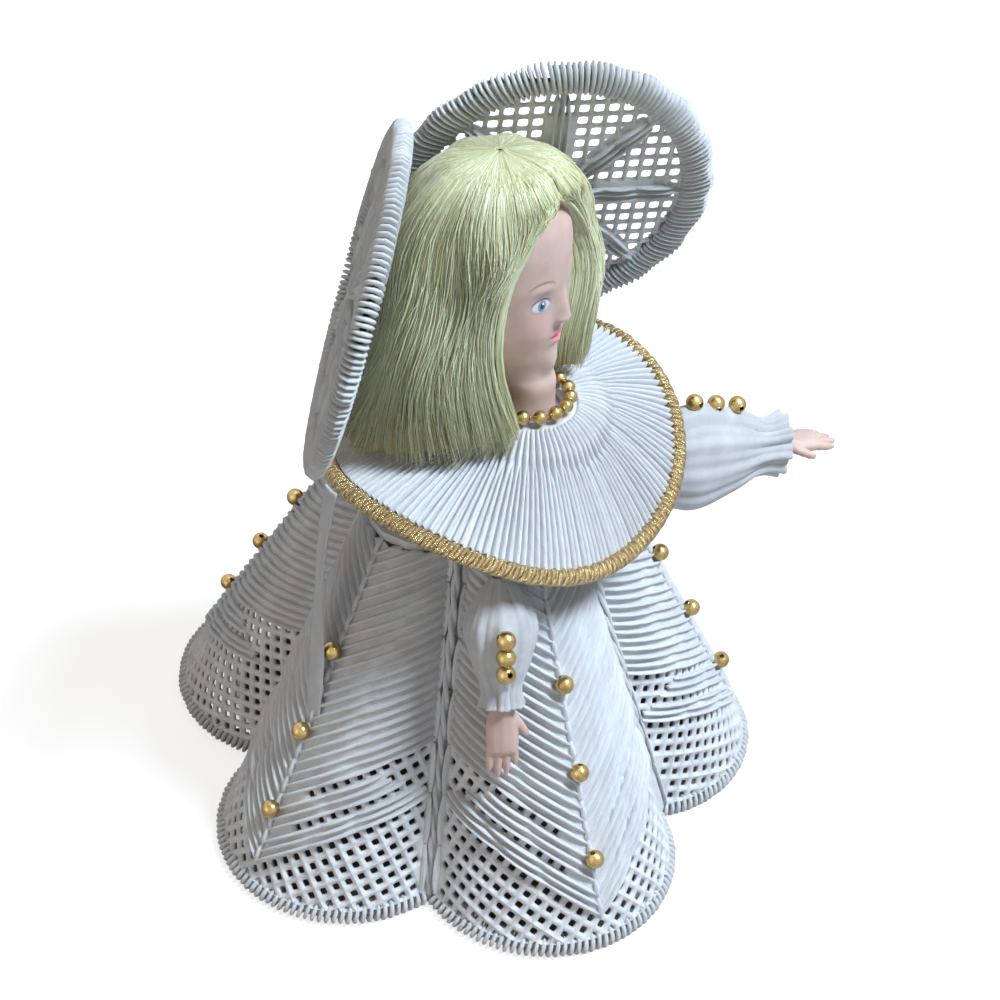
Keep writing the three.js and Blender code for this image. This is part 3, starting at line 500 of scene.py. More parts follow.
def yarnPiece(name, strands, width, height, sides, mat):
    counts = [len(s[0]) for s in strands]
    starts = np.concatenate([[0], np.cumsum(counts)])
    edges = []
    for begin, count, s in zip(starts, counts, strands):
        run = np.arange(begin, begin + count)
        edges.append(np.stack([run[:-1], run[1:]], 1))
        if s[4]:
            edges.append(np.array([[run[-1], run[0]]]))
    mesh = bpy.data.meshes.new(name)
    mesh.from_pydata((np.concatenate([s[0] for s in strands]) * mm).tolist(),
                     np.concatenate(edges).tolist(), [])
    mesh.attributes.new("lay", "FLOAT_VECTOR", "POINT").data.foreach_set(
        "vector", np.concatenate([s[1] for s in strands]).astype(np.float32).ravel())
    mesh.attributes.new("swell", "FLOAT", "POINT").data.foreach_set(
        "value", np.concatenate([s[2] for s in strands]).astype(np.float32))
    mesh.attributes.new("tone", "FLOAT", "POINT").data.foreach_set(
        "value", np.repeat([s[3] for s in strands], counts).astype(np.float32))
    return grow(addObject(name, mesh), yarnTree, {"Sides": sides, "Width": width * mm,
                                                  "Height": height * mm, "Material": mat})


def beadSource():
    # a moulded bead of radius 1: a ball with a drilled hole whose edges are rounded
    size = {"around": 28, "hole": 0.24, "lip": 0.07, "lipHeight": 0.985, "holeHeight": 0.9, "cut": 0.26}
    profile = [(math.sin(a), math.cos(a)) for a in np.linspace(size["cut"], math.pi - size["cut"], 17)]
    lip = size["hole"] + size["lip"] / 2
    profile += [(lip, -size["lipHeight"]), (size["hole"], -size["holeHeight"]),
                (size["hole"], size["holeHeight"]), (lip, size["lipHeight"])]
    verts = [(r * math.cos(t), r * math.sin(t), z) for r, z in profile for t in ringTurns(size["around"])]
    faces = gridFaces(len(profile), size["around"], wrap=True)
    joinRows(faces, len(profile), size["around"])
    return meshPiece("beadSource", np.array(verts) / mm, faces, goldBead)


def beadPiece(name, centres, facings, radius, body, replaced):
    mesh = bpy.data.meshes.new(name)
    mesh.from_pydata((np.asarray(centres) * mm).tolist(), [], [])
    mesh.attributes.new("facing", "FLOAT_VECTOR", "POINT").data.foreach_set(
        "vector", np.asarray(facings, np.float32).ravel())
    piece = grow(addObject(name, mesh), beadTree, {"Bead": beadShape, "Size": radius * mm,
                                                   "Material": goldBead})
    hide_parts(*replaced)
    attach(piece, body)


beadShape = beadSource()


def nodeCentre(name):
    low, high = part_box(name)
    return (np.array(low) + np.array(high)) / 2 / mm


# skirt
skirt = {"apex": 158.0, "spine": 82.0, "backSpine": 94.0, "valley": 60.0, "top": 94.0, "hem": 4.0,
         "cell": 3.63, "bar": 0.84, "slitBar": 1.0, "thick": 1.5, "edge": 3.0, "foot": 5.0,
         "valleyBand": 3.8, "patchLow": 43.8, "patchHigh": 25.0, "patchInner": 20.0,
         "slitInner": 7.5, "slitOuter": 31, "slitHigh": 26, "slitHalf": 0.06, "margin": 1.2,
         "stand": 0.15, "rounding": 0.88, "lip": 0.35, "beadRadius": 2.4}
leafYarn = {"lines": 36, "width": 3.2, "height": 1.05, "lift": 0.3, "liftMore": 0.1, "length": 12.5,
            "unevenness": 2.6, "overlap": 0.6, "shortest": 2,
            "gapLow": (1.3, 0.5, 0.5, 0.0), "gapHigh": (0.5, 0.5, 0.2, 0.0)}
valleyYarn = {"insets": (1.2, 3.2), "length": 14.5, "lift": 0.25, "liftMore": 0.1}
spineYarn = {"pitch": 5.4, "length": 5.9, "lift": 0.6, "width": 1.8, "height": 1.4}
hemYarns = {"pitch": 1.75, "inset": 1.3, "middle": 2.35, "wide": 2.15, "wideMore": 0.25, "tall": 1.72,
            "slant": 0.55, "width": 1.95, "height": 1.15}
rowRise = skirt["cell"] * math.sqrt(2)
topShare = 1 - skirt["top"] / skirt["apex"]   # where the cape hides the gores' upper ends


def makeLobe(k):
    half = math.pi / 5
    radius = skirt["backSpine"] if k == 0 else skirt["spine"]
    valley = skirt["valley"]
    along = valley * math.cos(half)
    centre = (radius**2 - valley**2) / (2 * (radius - along))
    arc = radius - centre
    halfArc = math.atan2(valley * math.sin(half), along - centre)
    turn = math.pi / 2 + k * 2 * math.pi / 5
    share = np.linspace(-1, 1, 321)
    x = centre + arc * np.cos(share * halfArc)
    y = arc * np.sin(share * halfArc)
    c, s = math.cos(turn), math.sin(turn)
    foot = np.stack([x * c - y * s, x * s + y * c, 0 * x], 1)
    line = foot - np.array([0, 0, skirt["apex"]])
    reach = np.linalg.norm(line, axis=1)
    way = line / reach[:, None]
    step = np.arccos(np.clip((way[1:] * way[:-1]).sum(1), -1, 1))
    phi = np.concatenate([[0], np.cumsum(step)])
    phi -= phi[-1] / 2
    out = unit(np.cross(np.gradient(way, phi, axis=0), way))
    mid = len(share) // 2
    if out[mid] @ np.array([c, s, 0]) < 0:
        out = -out
    hem = reach * (1 - (skirt["hem"] + 0.2) / skirt["apex"])
    return {"k": k, "phi": phi, "way": way, "out": out, "reach": reach, "hem": hem,
            "phiMax": phi[-1], "foot": hem[mid]}


def readRows(lobe, key, phi):
    return np.stack([np.interp(phi, lobe["phi"], lobe[key][:, i]) for i in range(3)], -1)


# a place on the gore from its angle and distance from the peak of the rolled-out cone
def conePoint(lobe, phi, rho, lift=0.0):
    phi, rho, lift = np.broadcast_arrays(np.asarray(phi, float), rho, lift)
    way = unit(readRows(lobe, "way", phi))
    out = unit(readRows(lobe, "out", phi))
    place = np.array([0, 0, skirt["apex"]]) + rho[..., None] * way + lift[..., None] * out
    return place + skirtAxis, out


def rolledOut(lobe, u, h):
    u, h = np.broadcast_arrays(np.asarray(u, float), h)
    v = lobe["foot"] - h
    return np.arctan2(u, v), np.hypot(u, v)


# the same from a place on the flat canvas: u across from the spine, h up from the hem's middle
def canvasPoint(lobe, u, h, lift=0.0):
    phi, rho = rolledOut(lobe, u, h)
    limit = lobe["phiMax"] * 0.995
    phi = np.clip(phi, -limit, limit)
    reach = np.interp(phi, lobe["phi"], lobe["reach"])
    rho = np.clip(rho, reach * topShare, np.interp(phi, lobe["phi"], lobe["hem"]))
    return conePoint(lobe, phi, rho, lift)


def regionAt(lobe, u, h):
    # 0 leaf, 1 open mesh, 2 valley band, 3 beyond the gore, 4 row of slits between two bands of the leaf
    phi, rho = rolledOut(lobe, abs(u), h)
    inside = (lobe["phiMax"] - phi) * rho
    reach = np.interp(phi, lobe["phi"], lobe["reach"])
    if inside < -skirt["margin"] or rho > np.interp(phi, lobe["phi"], lobe["hem"]) + skirt["margin"]:
        return 3
    if rho < reach * topShare - skirt["margin"]:
        return 3
    if inside < skirt["valleyBand"]:
        return 2
    rise = h - abs(u)
    if rise < skirt["edge"] + leafYarn["gapLow"][0]:
        return 1
    if h > skirt["patchLow"] and rise < skirt["patchHigh"] and abs(u) > skirt["patchInner"]:
        return 1
    row = (rise - skirt["edge"]) / (2 * rowRise)
    between = skirt["slitInner"] < abs(u) < skirt["slitOuter"] and rise < skirt["slitHigh"]
    return 4 if between and abs(row - round(row)) < skirt["slitHalf"] else 0


def goreCanvas(lobe):
    # the canvas lies with its rows at 45 degrees to the spine: p and q run along them
    cell, rounding, lip = skirt["cell"], skirt["rounding"], skirt["lip"]
    holeRing = [(x * (rounding if y else 1), y * (rounding if x else 1)) for x, y in squareRing]

    def acrossAndUp(p, q):
        return (p - q) / math.sqrt(2), (p + q) / math.sqrt(2) + skirt["edge"]

    cells = []
    for i in range(-16, 36):
        for j in range(-16, 36):
            p, q = i * cell, j * cell
            region = regionAt(lobe, *acrossAndUp(p, q))
            if region == 3:
                continue
            square = [(p + x * cell / 2, q + y * cell / 2) for x, y in squareRing]
            hole = None
            if region in (1, 4):
                halfHole = cell / 2 - skirt["bar" if region == 1 else "slitBar"]
                hole = [(p + x * halfHole, q + y * halfHole) for x, y in holeRing]
            cells.append((square, hole))
    flat, lifts, faces = canvasCells(cells, skirt["stand"], -skirt["thick"], -lip, -skirt["thick"] + lip)
    place, _ = canvasPoint(lobe, *acrossAndUp(flat[:, 0], flat[:, 1]), lifts)
    return place, faces


def stitchRun(places, lays, lifts):
    # a stitch dives into the canvas at both ends and is fullest between them
    t = np.linspace(0, 1, len(places))
    puff = np.sin(np.pi * np.clip(t, 0.02, 0.98)) ** 0.35
    raised = places + lays * ((lifts * puff - 0.5 * (1 - puff))[:, None])
    return strand(raised, lays, 0.55 + 0.45 * puff)


def leafStitches(lobe):
    # bands of three long stitches rise outward from the spine, with a row of slits between two bands
    stitches = []
    reach = np.arange(0.3, 50, 0.7)
    for side in (-1, 1):
        for line in range(leafYarn["lines"]):
            band, step = divmod(line, 3)
            low = skirt["edge"] + 2 * rowRise * band + leafYarn["gapLow"][min(band, 3)]
            high = skirt["edge"] + 2 * rowRise * (band + 1) - leafYarn["gapHigh"][min(band, 3)]
            rise = low + (step + 0.5) * (high - low) / 3
            sewn = [regionAt(lobe, side * x, rise + x) in (0, 4) for x in reach] + [False]
            begin = None
            for n, inside in enumerate(sewn):
                if inside and begin is None:
                    begin = n
                if inside or begin is None:
                    continue
                first, last, begin = reach[begin], reach[n - 1], None
                if last - first < leafYarn["shortest"]:
                    continue
                parts = max(1, round((last - first) / leafYarn["length"]))
                cuts = np.linspace(first, last + leafYarn["overlap"], parts + 1)
                cuts[1:-1] += rng.uniform(-leafYarn["unevenness"], leafYarn["unevenness"], parts - 1)
                for start, stop in zip(cuts[:-1], cuts[1:]):
                    run = np.linspace(start, stop + leafYarn["overlap"] / 2, 10)
                    place, lay = canvasPoint(lobe, side * run, rise + run)
                    lift = leafYarn["lift"] + leafYarn["liftMore"] * rng.random()
                    stitches.append(stitchRun(place, lay, lift))
    return stitches


def valleyStitches(lobe):
    stitches = []
    hemReach = lobe["hem"][-1]
    topReach = lobe["reach"][-1] * topShare
    for side in (-1, 1):
        cuts = np.arange(hemReach, topReach + 6, -valleyYarn["length"])
        for inset in valleyYarn["insets"]:
            for low, high in zip(cuts, np.append(cuts[1:], topReach)):
                rho = np.linspace(low, high + 0.5, 9)
                phi = side * (lobe["phiMax"] - inset / rho)
                place, lay = conePoint(lobe, phi, rho)
                lift = valleyYarn["lift"] + valleyYarn["liftMore"] * rng.random()
                stitches.append(stitchRun(place, lay, lift))
    return stitches


def spineStitches(lobe):
    stitches = []
    mid = len(lobe["phi"]) // 2
    low = lobe["foot"] - skirt["foot"]
    high = lobe["reach"][mid] * topShare
    for rho in np.arange(low, high, -spineYarn["pitch"]):
        r = np.linspace(rho, rho - spineYarn["length"], 7)
        place, lay = conePoint(lobe, np.sin(r * 2.1) * 0.0008, r)
        stitches.append(stitchRun(place, lay, spineYarn["lift"]))
    return stitches


def hemStitches(lobe):
    loops = []
    place, out = conePoint(lobe, lobe["phi"], lobe["hem"])
    middle = place - out * hemYarns["inset"]
    middle[:, 2] = hemYarns["middle"]
    path = np.concatenate([[0], np.cumsum(np.linalg.norm(np.diff(middle, axis=0), axis=1))])
    count = int(path[-1] / hemYarns["pitch"])
    q = ringTurns(14)
    for n in range(count):
        at = (n + 0.5) / count * path[-1]
        behind, c, ahead = [np.array([np.interp(at + d, path, middle[:, i]) for i in range(3)])
                            for d in (-0.5, 0, 0.5)]
        t = unit(ahead - behind)
        side = unit(np.cross(t, [0, 0, 1]))
        wide = hemYarns["wide"] + hemYarns["wideMore"] * rng.random()
        ring = (c + side * wide * np.cos(q)[:, None] + np.array([0, 0, hemYarns["tall"]]) * np.sin(q)[:, None]
                + t * (hemYarns["slant"] * np.sin(q))[:, None])
        lay = unit(side * np.cos(q)[:, None] + np.array([0, 0, 1]) * np.sin(q)[:, None])
        loops.append(strand(ring, lay, 0.92 + 0.14 * rng.random(), loop=True))
    core = strand(middle[::8], [0, 0, 1.0], 1.9)
    return loops, core


lobes = [makeLobe(k) for k in range(5)]
for lobe in lobes:
    label = str(lobe["k"] + 1)
    place, faces = goreCanvas(lobe)
    canvas = meshPiece("gore_canvas_" + label, place, faces, canvasBars)
    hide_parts("skirt_gore_" + label)
    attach(canvas, "doll_body")
    satin = yarnPiece("gore_stitches_" + label, leafStitches(lobe) + valleyStitches(lobe),
                      leafYarn["width"], leafYarn["height"], 10, whiteYarn)
    spine = yarnPiece("spine_stitches_" + label, spineStitches(lobe), spineYarn["width"],
                      spineYarn["height"], 8, whiteYarn)
    for piece in (satin, spine):
        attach(piece, "doll_body")
    loops, core = hemStitches(lobe)
    hem = yarnPiece("hem_overcast_" + label, loops + [core], hemYarns["width"], hemYarns["height"], 8,
                    hemYarn)
    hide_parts("skirt_hem_" + label)
    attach(hem, "doll_body")
print("skirt gores and hems ready")


seam = {"thick": 1.35, "offset": 0.5, "turns": 38}


def seamPiece(label):
    node = nodes["gore_seam_" + label]
    spots = np.array([v.co for v in node.data.vertices]) / mm
    order = spots[:, 2].argsort()
    foot = spots[order[:6]].mean(0)
    head = spots[order[-6:]].mean(0)
    t = np.linspace(0, 1, 90)
    line = foot + (head - foot) * t[:, None]
    away = unit((foot - skirtAxis) * [1, 1, 0])
    across = unit(np.cross(head - foot, away))
    plies = [ply(line, across, away, t * seam["turns"] + start, seam["offset"]) for start in (0, math.pi)]
    piece = yarnPiece("valley_cord_" + label, plies, seam["thick"], seam["thick"], 8, whiteYarn)
    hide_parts("gore_seam_" + label)
    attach(piece, "doll_body")


for k in range(5):
    seamPiece(str(k + 1))

skirtBeads, skirtFacings, names = [], [], []
for lobe in lobes:
    for i in range(3):
        name = "skirt_bead_%d_%d" % (lobe["k"] + 1, i + 1)
        names.append(name)
        skirtBeads.append(nodeCentre(name))
        mid = len(lobe["phi"]) // 2
        skirtFacings.append(unit(lobe["way"][mid] + rng.normal(0, 0.25, 3)))
beadPiece("skirt_beads", skirtBeads, skirtFacings, skirt["beadRadius"], "doll_body", names)
print("seams and skirt beads ready")


# cape, rope and necklace
cape = {"neck": 121.3, "collar": 12.8, "reach": 44.5, "thick": 2.4, "power": 1.2, "side": 4.0,
        "front": 32.0, "back": 26.0, "arm": 12.0, "armTurn": -145.0, "clothDrop": 0.7}
bodyAxis = np.array([2.0, -11.0, 0.0]) + skirtAxis
rimAxis = np.array([0.0, -8.0, 0.0]) + skirtAxis


def capePoint(turn, share, rise=0.0):
    turn, share = np.broadcast_arrays(np.asarray(turn, float), share)
    s = np.sin(turn)
    slope = (cape["side"] + (cape["front"] - cape["side"]) * np.maximum(0, -s) ** 2
             + (cape["back"] - cape["side"]) * np.maximum(0, s) ** 2
             + cape["arm"] * np.maximum(0, np.cos(turn - math.radians(cape["armTurn"]))) ** 2)
    slope = np.radians(slope)
    inner = polar(cape["collar"], turn, cape["neck"]) + bodyAxis
    outer = polar(cape["reach"] * np.cos(slope), turn,
                  cape["neck"] - cape["reach"] * np.sin(slope)) + rimAxis
    place = inner + (outer - inner) * share[..., None]
    drop = np.maximum(share, 0) ** cape["power"]
    place[..., 2] = inner[..., 2] + (outer[..., 2] - inner[..., 2]) * drop + rise
    return place


def capeNormal(turn, share):
    e = 0.01
    across = capePoint(turn + e, share) - capePoint(turn - e, share)
    along = capePoint(turn, share + e) - capePoint(turn, np.maximum(share - e, 0))
    out = unit(np.cross(along, across))
    return out * np.sign(out[..., 2:3])


def capeCloth():
    size = {"around": 220, "neckShare": -0.14, "rimShare": 1.012, "topRib": 0.12, "lowerRib": 0.25}
    turns = ringTurns(size["around"])
    shares = np.concatenate([[size["neckShare"]], np.linspace(0, 1, 18)])
    topRib = size["topRib"] * np.cos(turns * size["around"] / 2)
    lowerRib = size["lowerRib"] * np.cos(turns * size["around"] / 4)
    rows = [capePoint(turns, share, cape["thick"] - cape["clothDrop"] + topRib) for share in shares]
    rows.append(capePoint(turns, size["rimShare"], cape["thick"] / 2))
    rows += [capePoint(turns, share, lowerRib) for share in shares[::-1]]
    faces = gridFaces(len(rows), size["around"], wrap=True)
    joinRows(faces, len(rows), size["around"])
    return meshPiece("cape_cloth", np.concatenate(rows), faces, canvasBars)


capeYarn = {"rays": 74, "width": 2.7, "height": 0.8, "lift": 0.42, "begin": 0.27, "spread": 0.05,
            "fullness": 2.15}


def capeStitches():
    # long rays from the neck to the rim, and one more between two of them farther out
    made = []
    step = math.pi / capeYarn["rays"]
    for n in range(2 * capeYarn["rays"]):
        turn = (n + rng.uniform(-0.1, 0.1)) * step
        low = -0.01
        if n % 2:
            low = capeYarn["begin"] + rng.uniform(-1, 1) * capeYarn["spread"]
        share = np.linspace(low, 1.01, 14)
        place = capePoint(turn, share, cape["thick"] - cape["clothDrop"])
        lay = capeNormal(np.full(len(share), turn), np.clip(share, 0.01, 1))
        around = (cape["collar"] + (cape["reach"] - cape["collar"]) * share) * step * 2
        crowd = np.where(share < capeYarn["begin"], 1.0, 1.0 - 0.5 * smooth(share, 0.22, 0.36))
        if n % 2:
            crowd = 0.5 * smooth(share, low - 0.02, low + 0.1)
        points, lays, _, tone, loop = stitchRun(place, lay, capeYarn["lift"])
        swell = np.clip(around * crowd * capeYarn["fullness"] / capeYarn["width"], 0.14, 1.7)
        made.append((points + lay * (swell * 0.15)[:, None], lays, swell, tone, loop))
    return made


capeBase = capeCloth()
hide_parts("cape")
capeTop = yarnPiece("cape_stitches", capeStitches(), capeYarn["width"], capeYarn["height"], 10, whiteYarn)
for piece in (capeBase, capeTop):
    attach(piece, "doll_body")


goldRope = {"plies": 3, "thick": 2.25, "offset": 1.12, "turns": 34, "out": 2.5, "steps": 1500}


def ropeStrands():
    # three thick plies laid round the rim, each with its own twist
    turn = ringTurns(goldRope["steps"])
    outward = polar(1.0, turn, 0.0)
    centre = capePoint(turn, np.ones(len(turn)), cape["thick"] / 2) + polar(goldRope["out"], turn, 0.0)
    along = unit(np.roll(centre, -1, 0) - np.roll(centre, 1, 0))
    out = unit(outward - along * (outward * along).sum(1)[:, None])
    up = np.cross(out, along)
    return [ply(centre, out, up, turn * goldRope["turns"] + p * 2 * math.pi / goldRope["plies"],
                goldRope["offset"], 1 + 0.06 * np.sin(turn * 57 + p), loop=True)
            for p in range(goldRope["plies"])]


rope = yarnPiece("gold_rope", ropeStrands(), goldRope["thick"], goldRope["thick"], 10, goldYarn)
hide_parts("cape_rope")
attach(rope, "doll_body")

necklace = {"radius": 10.8, "beads": 16, "size": 1.78, "thread": 0.7, "unevenness": 0.15,
            "height": cape["neck"] + 2.4 + 0.3 + 1.7}
turns = ringTurns(necklace["beads"])
beadSpots = polar(necklace["radius"], turns, necklace["height"]) + bodyAxis
beadSpots[:, 2] += rng.uniform(-necklace["unevenness"], necklace["unevenness"], len(turns))
beadPiece("necklace_beads", beadSpots, polar(1.0, turns + math.pi / 2, 0.0), necklace["size"],
          "doll_body", ["necklace"])
ring = polar(necklace["radius"], np.linspace(0, 2 * math.pi, 90)[:-1], necklace["height"]) + bodyAxis
thread = yarnPiece("necklace_thread", [strand(ring, [0, 0, 1.0], loop=True)], necklace["thread"],
                   necklace["thread"], 6, goldYarn)
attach(thread, "doll_body")
print("cape, rope and necklace ready")


# wings
wing = {"radius": 39.5, "thick": 1.5, "bar": 0.47, "border": 6.6, "outer": 41.3, "sweep": 40.0,
        "lean": 15.0, "pairTurn": -13.0, "rays": 8, "rayWidth": 5.6, "rounding": 0.85, "lip": 0.5}
raySewing = {"width": 2.6, "height": 0.75, "lift": 0.3, "spacing": 1.75, "cuts": (1.5, 12.0, 22.5, 33.5),
             "outerShorter": 3.0}
rimSewing = {"count": 168, "width": 2.5, "height": 1.1, "stand": 0.55, "unevenness": 0.12,
             "slant": 0.0045, "inset": 0.7, "dip": 0.3}
rootCord = {"thick": 1.7, "offset": 0.25, "turns": 26, "starts": (0, 2.1, 4.2), "low": 0.04, "span": 0.92}


def wingFrame(name, side):
    sweep, lean = math.radians(wing["sweep"]), math.radians(wing["lean"])
    along = np.array([side * math.cos(sweep), -math.sin(sweep), 0])
    back = np.array([side * math.sin(sweep), math.cos(sweep), 0])
    up = np.array([0, 0, math.cos(lean)]) - back * math.sin(lean)
    along, up = turned(along, wing["pairTurn"]), turned(up, wing["pairTurn"])
    return nodeCentre("wing_" + name), along, up, np.cross(along, up)


def wingSpot(f, x, y, lift=0.0):
    x, y, lift = np.broadcast_arrays(np.asarray(x, float), y, lift)
    return f[0] + x[..., None] * f[1] + y[..., None] * f[2] + lift[..., None] * f[3]


def rayShare(x, y):
    # 0 in the middle of a stitched ray, 1 at its edge
    r = np.hypot(x, y)
    step = 2 * math.pi / wing["rays"]
    off = abs((np.arctan2(y, x) + step / 2) % step - step / 2)
    width = wing["rayWidth"] * 0.5 * np.clip(r / 12, 0.35, 1) * np.clip((36 - r) / 14, 0.15, 1)
    return off * r / np.maximum(width, 0.2)


def wingCanvas(f):
    cell, rounding, lip = skirt["cell"], wing["rounding"], wing["lip"]
    halfHole, half = cell / 2 - wing["bar"], wing["thick"] / 2
    cells = []
    for i in range(-11, 11):
        for j in range(-11, 11):
            x, y = (i + 0.5) * cell, (j + 0.5) * cell
            r = math.hypot(x, y)
            if r > wing["radius"] - 1:
                continue
            square = [(x + a * cell / 2, y + b * cell / 2) for a, b in squareRing]
            hole = None
            if r < wing["radius"] - wing["border"] + 1.5 and rayShare(x, y) > 0.8:
                hole = [(x + a * halfHole * (rounding if a * b else 1),
                         y + b * halfHole * (rounding if a * b else 1)) for a, b in squareRing]
            cells.append((square, hole))
    flat, lifts, faces = canvasCells(cells, half, -half, half - lip, lip - half)
    return wingSpot(f, flat[:, 0], flat[:, 1], lifts), faces


def rayStitches(f):
    made = []
    for face in (1, -1):
        lay = f[3] * face
        for ray in range(wing["rays"]):
            a = ray * 2 * math.pi / wing["rays"]
            for m in (-1, 0, 1):
                cuts = np.array(raySewing["cuts"]) + [0, m, -m, -abs(m) * raySewing["outerShorter"]]
                for low, high in zip(cuts[:-1], cuts[1:]):
                    r = np.linspace(low, high + 0.4, 8)
                    off = m * raySewing["spacing"] * np.clip(r / 12, 0.3, 1) * np.clip((40 - r) / 14, 0.4, 1)
                    x = r * math.cos(a) - off * math.sin(a)
                    y = r * math.sin(a) + off * math.cos(a)
                    place = wingSpot(f, x, y, face * wing["thick"] / 2)
                    made.append(stitchRun(place, np.broadcast_to(lay, place.shape), raySewing["lift"]))
    return made


def borderStitches(f):
    # each stitch goes through the canvas, over the rim and back down the other face
    count, uneven = rimSewing["count"], rimSewing["unevenness"]
    inner, outer = wing["radius"] - wing["border"], wing["outer"] - rimSewing["inset"]
    depth = wing["thick"] / 2 + rimSewing["stand"]
    loops = []
    for n in range(count):
        a = (n + rng.uniform(-uneven, uneven)) * 2 * math.pi / count
        top = outer + (rimSewing["dip"] * math.cos(n * 2 * math.pi / 9) - rimSewing["dip"])
        r = np.array([inner, inner + 1.2, inner + 3.4, outer - 2.0, top - 0.5, top, top - 0.5, outer - 2.0,
                      inner + 3.4, inner + 1.2, inner])
        z = np.array([0.35, 0.95, 1.1, 1.0, 0.7, 0, -0.7, -1.0, -1.1, -0.95, -0.35]) * depth
        turn = a + (r - inner) * rimSewing["slant"]
        place = wingSpot(f, r * np.cos(turn), r * np.sin(turn), z)
        radial = math.cos(a) * f[1] + math.sin(a) * f[2]
        lean = np.clip((r - outer + 1.4) / 1.4, 0, 1)
        lay = unit(radial * lean[:, None] + f[3] * (np.sign(z) * (1 - lean * 0.7))[:, None]
                   + radial * (z == 0)[:, None])
        swell = (0.86 + 0.14 * (r - inner) / (outer - inner)) * (0.96 + 0.08 * rng.random())
        loops.append(strand(place, lay, swell, loop=True))
    return loops


for name, side in (("left", 1), ("right", -1)):
    f = wingFrame(name, side)
    place, faces = wingCanvas(f)
    canvas = meshPiece("wing_canvas_" + name, place, faces, canvasBars)
    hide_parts("wing_" + name)
    rays = yarnPiece("wing_rays_" + name, rayStitches(f), raySewing["width"], raySewing["height"], 8,
                     wingYarn)
    border = yarnPiece("wing_border_" + name, borderStitches(f), rimSewing["width"], rimSewing["height"], 8,
                       wingYarn)
    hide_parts("wing_binding_" + name)
    for piece, slot in ((canvas, "stitched_mesh"), (rays, "stitched_mesh"), (border, "white_yarn")):
        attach(piece, "doll_body")

seamLow, seamHigh = [np.array(c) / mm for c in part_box("wing_root_seam")]
t = np.linspace(0, 1, 60)
mid = (seamLow + seamHigh) / 2
height = seamLow[2] + (seamHigh[2] - seamLow[2]) * (rootCord["low"] + rootCord["span"] * t)
line = np.stack([mid[0] + 0 * t, mid[1] + 0 * t, height], 1)
offset = rootCord["offset"] * (seamHigh[0] - seamLow[0])
plies = [ply(line, np.array([1, 0, 0]), np.array([0, 1, 0]), t * rootCord["turns"] + start, offset)
         for start in rootCord["starts"]]
rootSeam = yarnPiece("wing_root_cord", plies, rootCord["thick"], rootCord["thick"], 8, wingYarn)
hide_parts("wing_root_seam")
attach(rootSeam, "doll_body")
print("wings ready")


# head
head = {"height": 62.0, "side": 18.0, "depth": 20.0, "seat": cape["neck"], "peg": 5.7,
        "pegHeights": (-11.5, -0.5), "faceWidth": 19.0}
headSections = [   # share of the height, half width, half depth, how far forward
    [0, 0.41, 0.37, 0], [0.09, 0.38, 0.35, 0], [0.16, 0.4, 0.38, -0.04], [0.195, 0.48, 0.5, -0.22],
    [0.235, 0.6, 0.62, -0.36], [0.3, 0.75, 0.76, -0.46], [0.36, 0.85, 0.86, -0.53],
    [0.42, 0.92, 0.92, -0.57], [0.48, 0.96, 0.96, -0.6], [0.55, 0.99, 0.98, -0.6], [0.62, 1, 1, -0.6],
    [0.7, 1, 1, -0.6], [0.78, 0.98, 0.99, -0.6], [0.86, 0.9, 0.92, -0.6], [0.93, 0.7, 0.72, -0.6],
    [0.98, 0.4, 0.42, -0.6], [1, 0.08, 0.08, -0.6],
]


def headPlace(p):
    return np.asarray(p, float) + bodyAxis + np.array([0, 0, head["seat"]])


def faceRelief(x, h):
    ax = abs(x)
    noseRun = np.where(h > 29.4, np.exp(-(((h - 29.4) / 5.4) ** 2)), np.exp(-(((h - 29.4) / 1.5) ** 2)))
    nose = 2.9 * bell(x, 2.3) * noseRun + 0.7 * bell(ax - 1.7, 0.9) * bell(h - 29.2, 1.1)
    lips = 0.95 * bell(x, 3.2) * bell(h - 24.9, 1.0) + 1.1 * bell(x, 2.7) * bell(h - 22.7, 1.15)
    lips -= 0.45 * bell(x, 3.6) * bell(h - 23.9, 0.4)
    chin = 1.7 * bell(x, 5.0) * bell(h - 15.6, 3.4)
    sockets = -1.25 * bell(ax - 7.5, 3.1) * bell(h - 35.2, 2.7)
    eyes = 0.95 * bell(ax - 7.7, 2.3) * bell(h - 34.8, 1.7)
    cheeks = 0.9 * bell(ax - 8.6, 4.6) * bell(h - 27.4, 5.0)
    brows = 0.35 * bell(ax - 7.7, 4.0) * bell(h - 39.4, 1.5)
    return nose + lips + chin + sockets + eyes + cheeks + brows


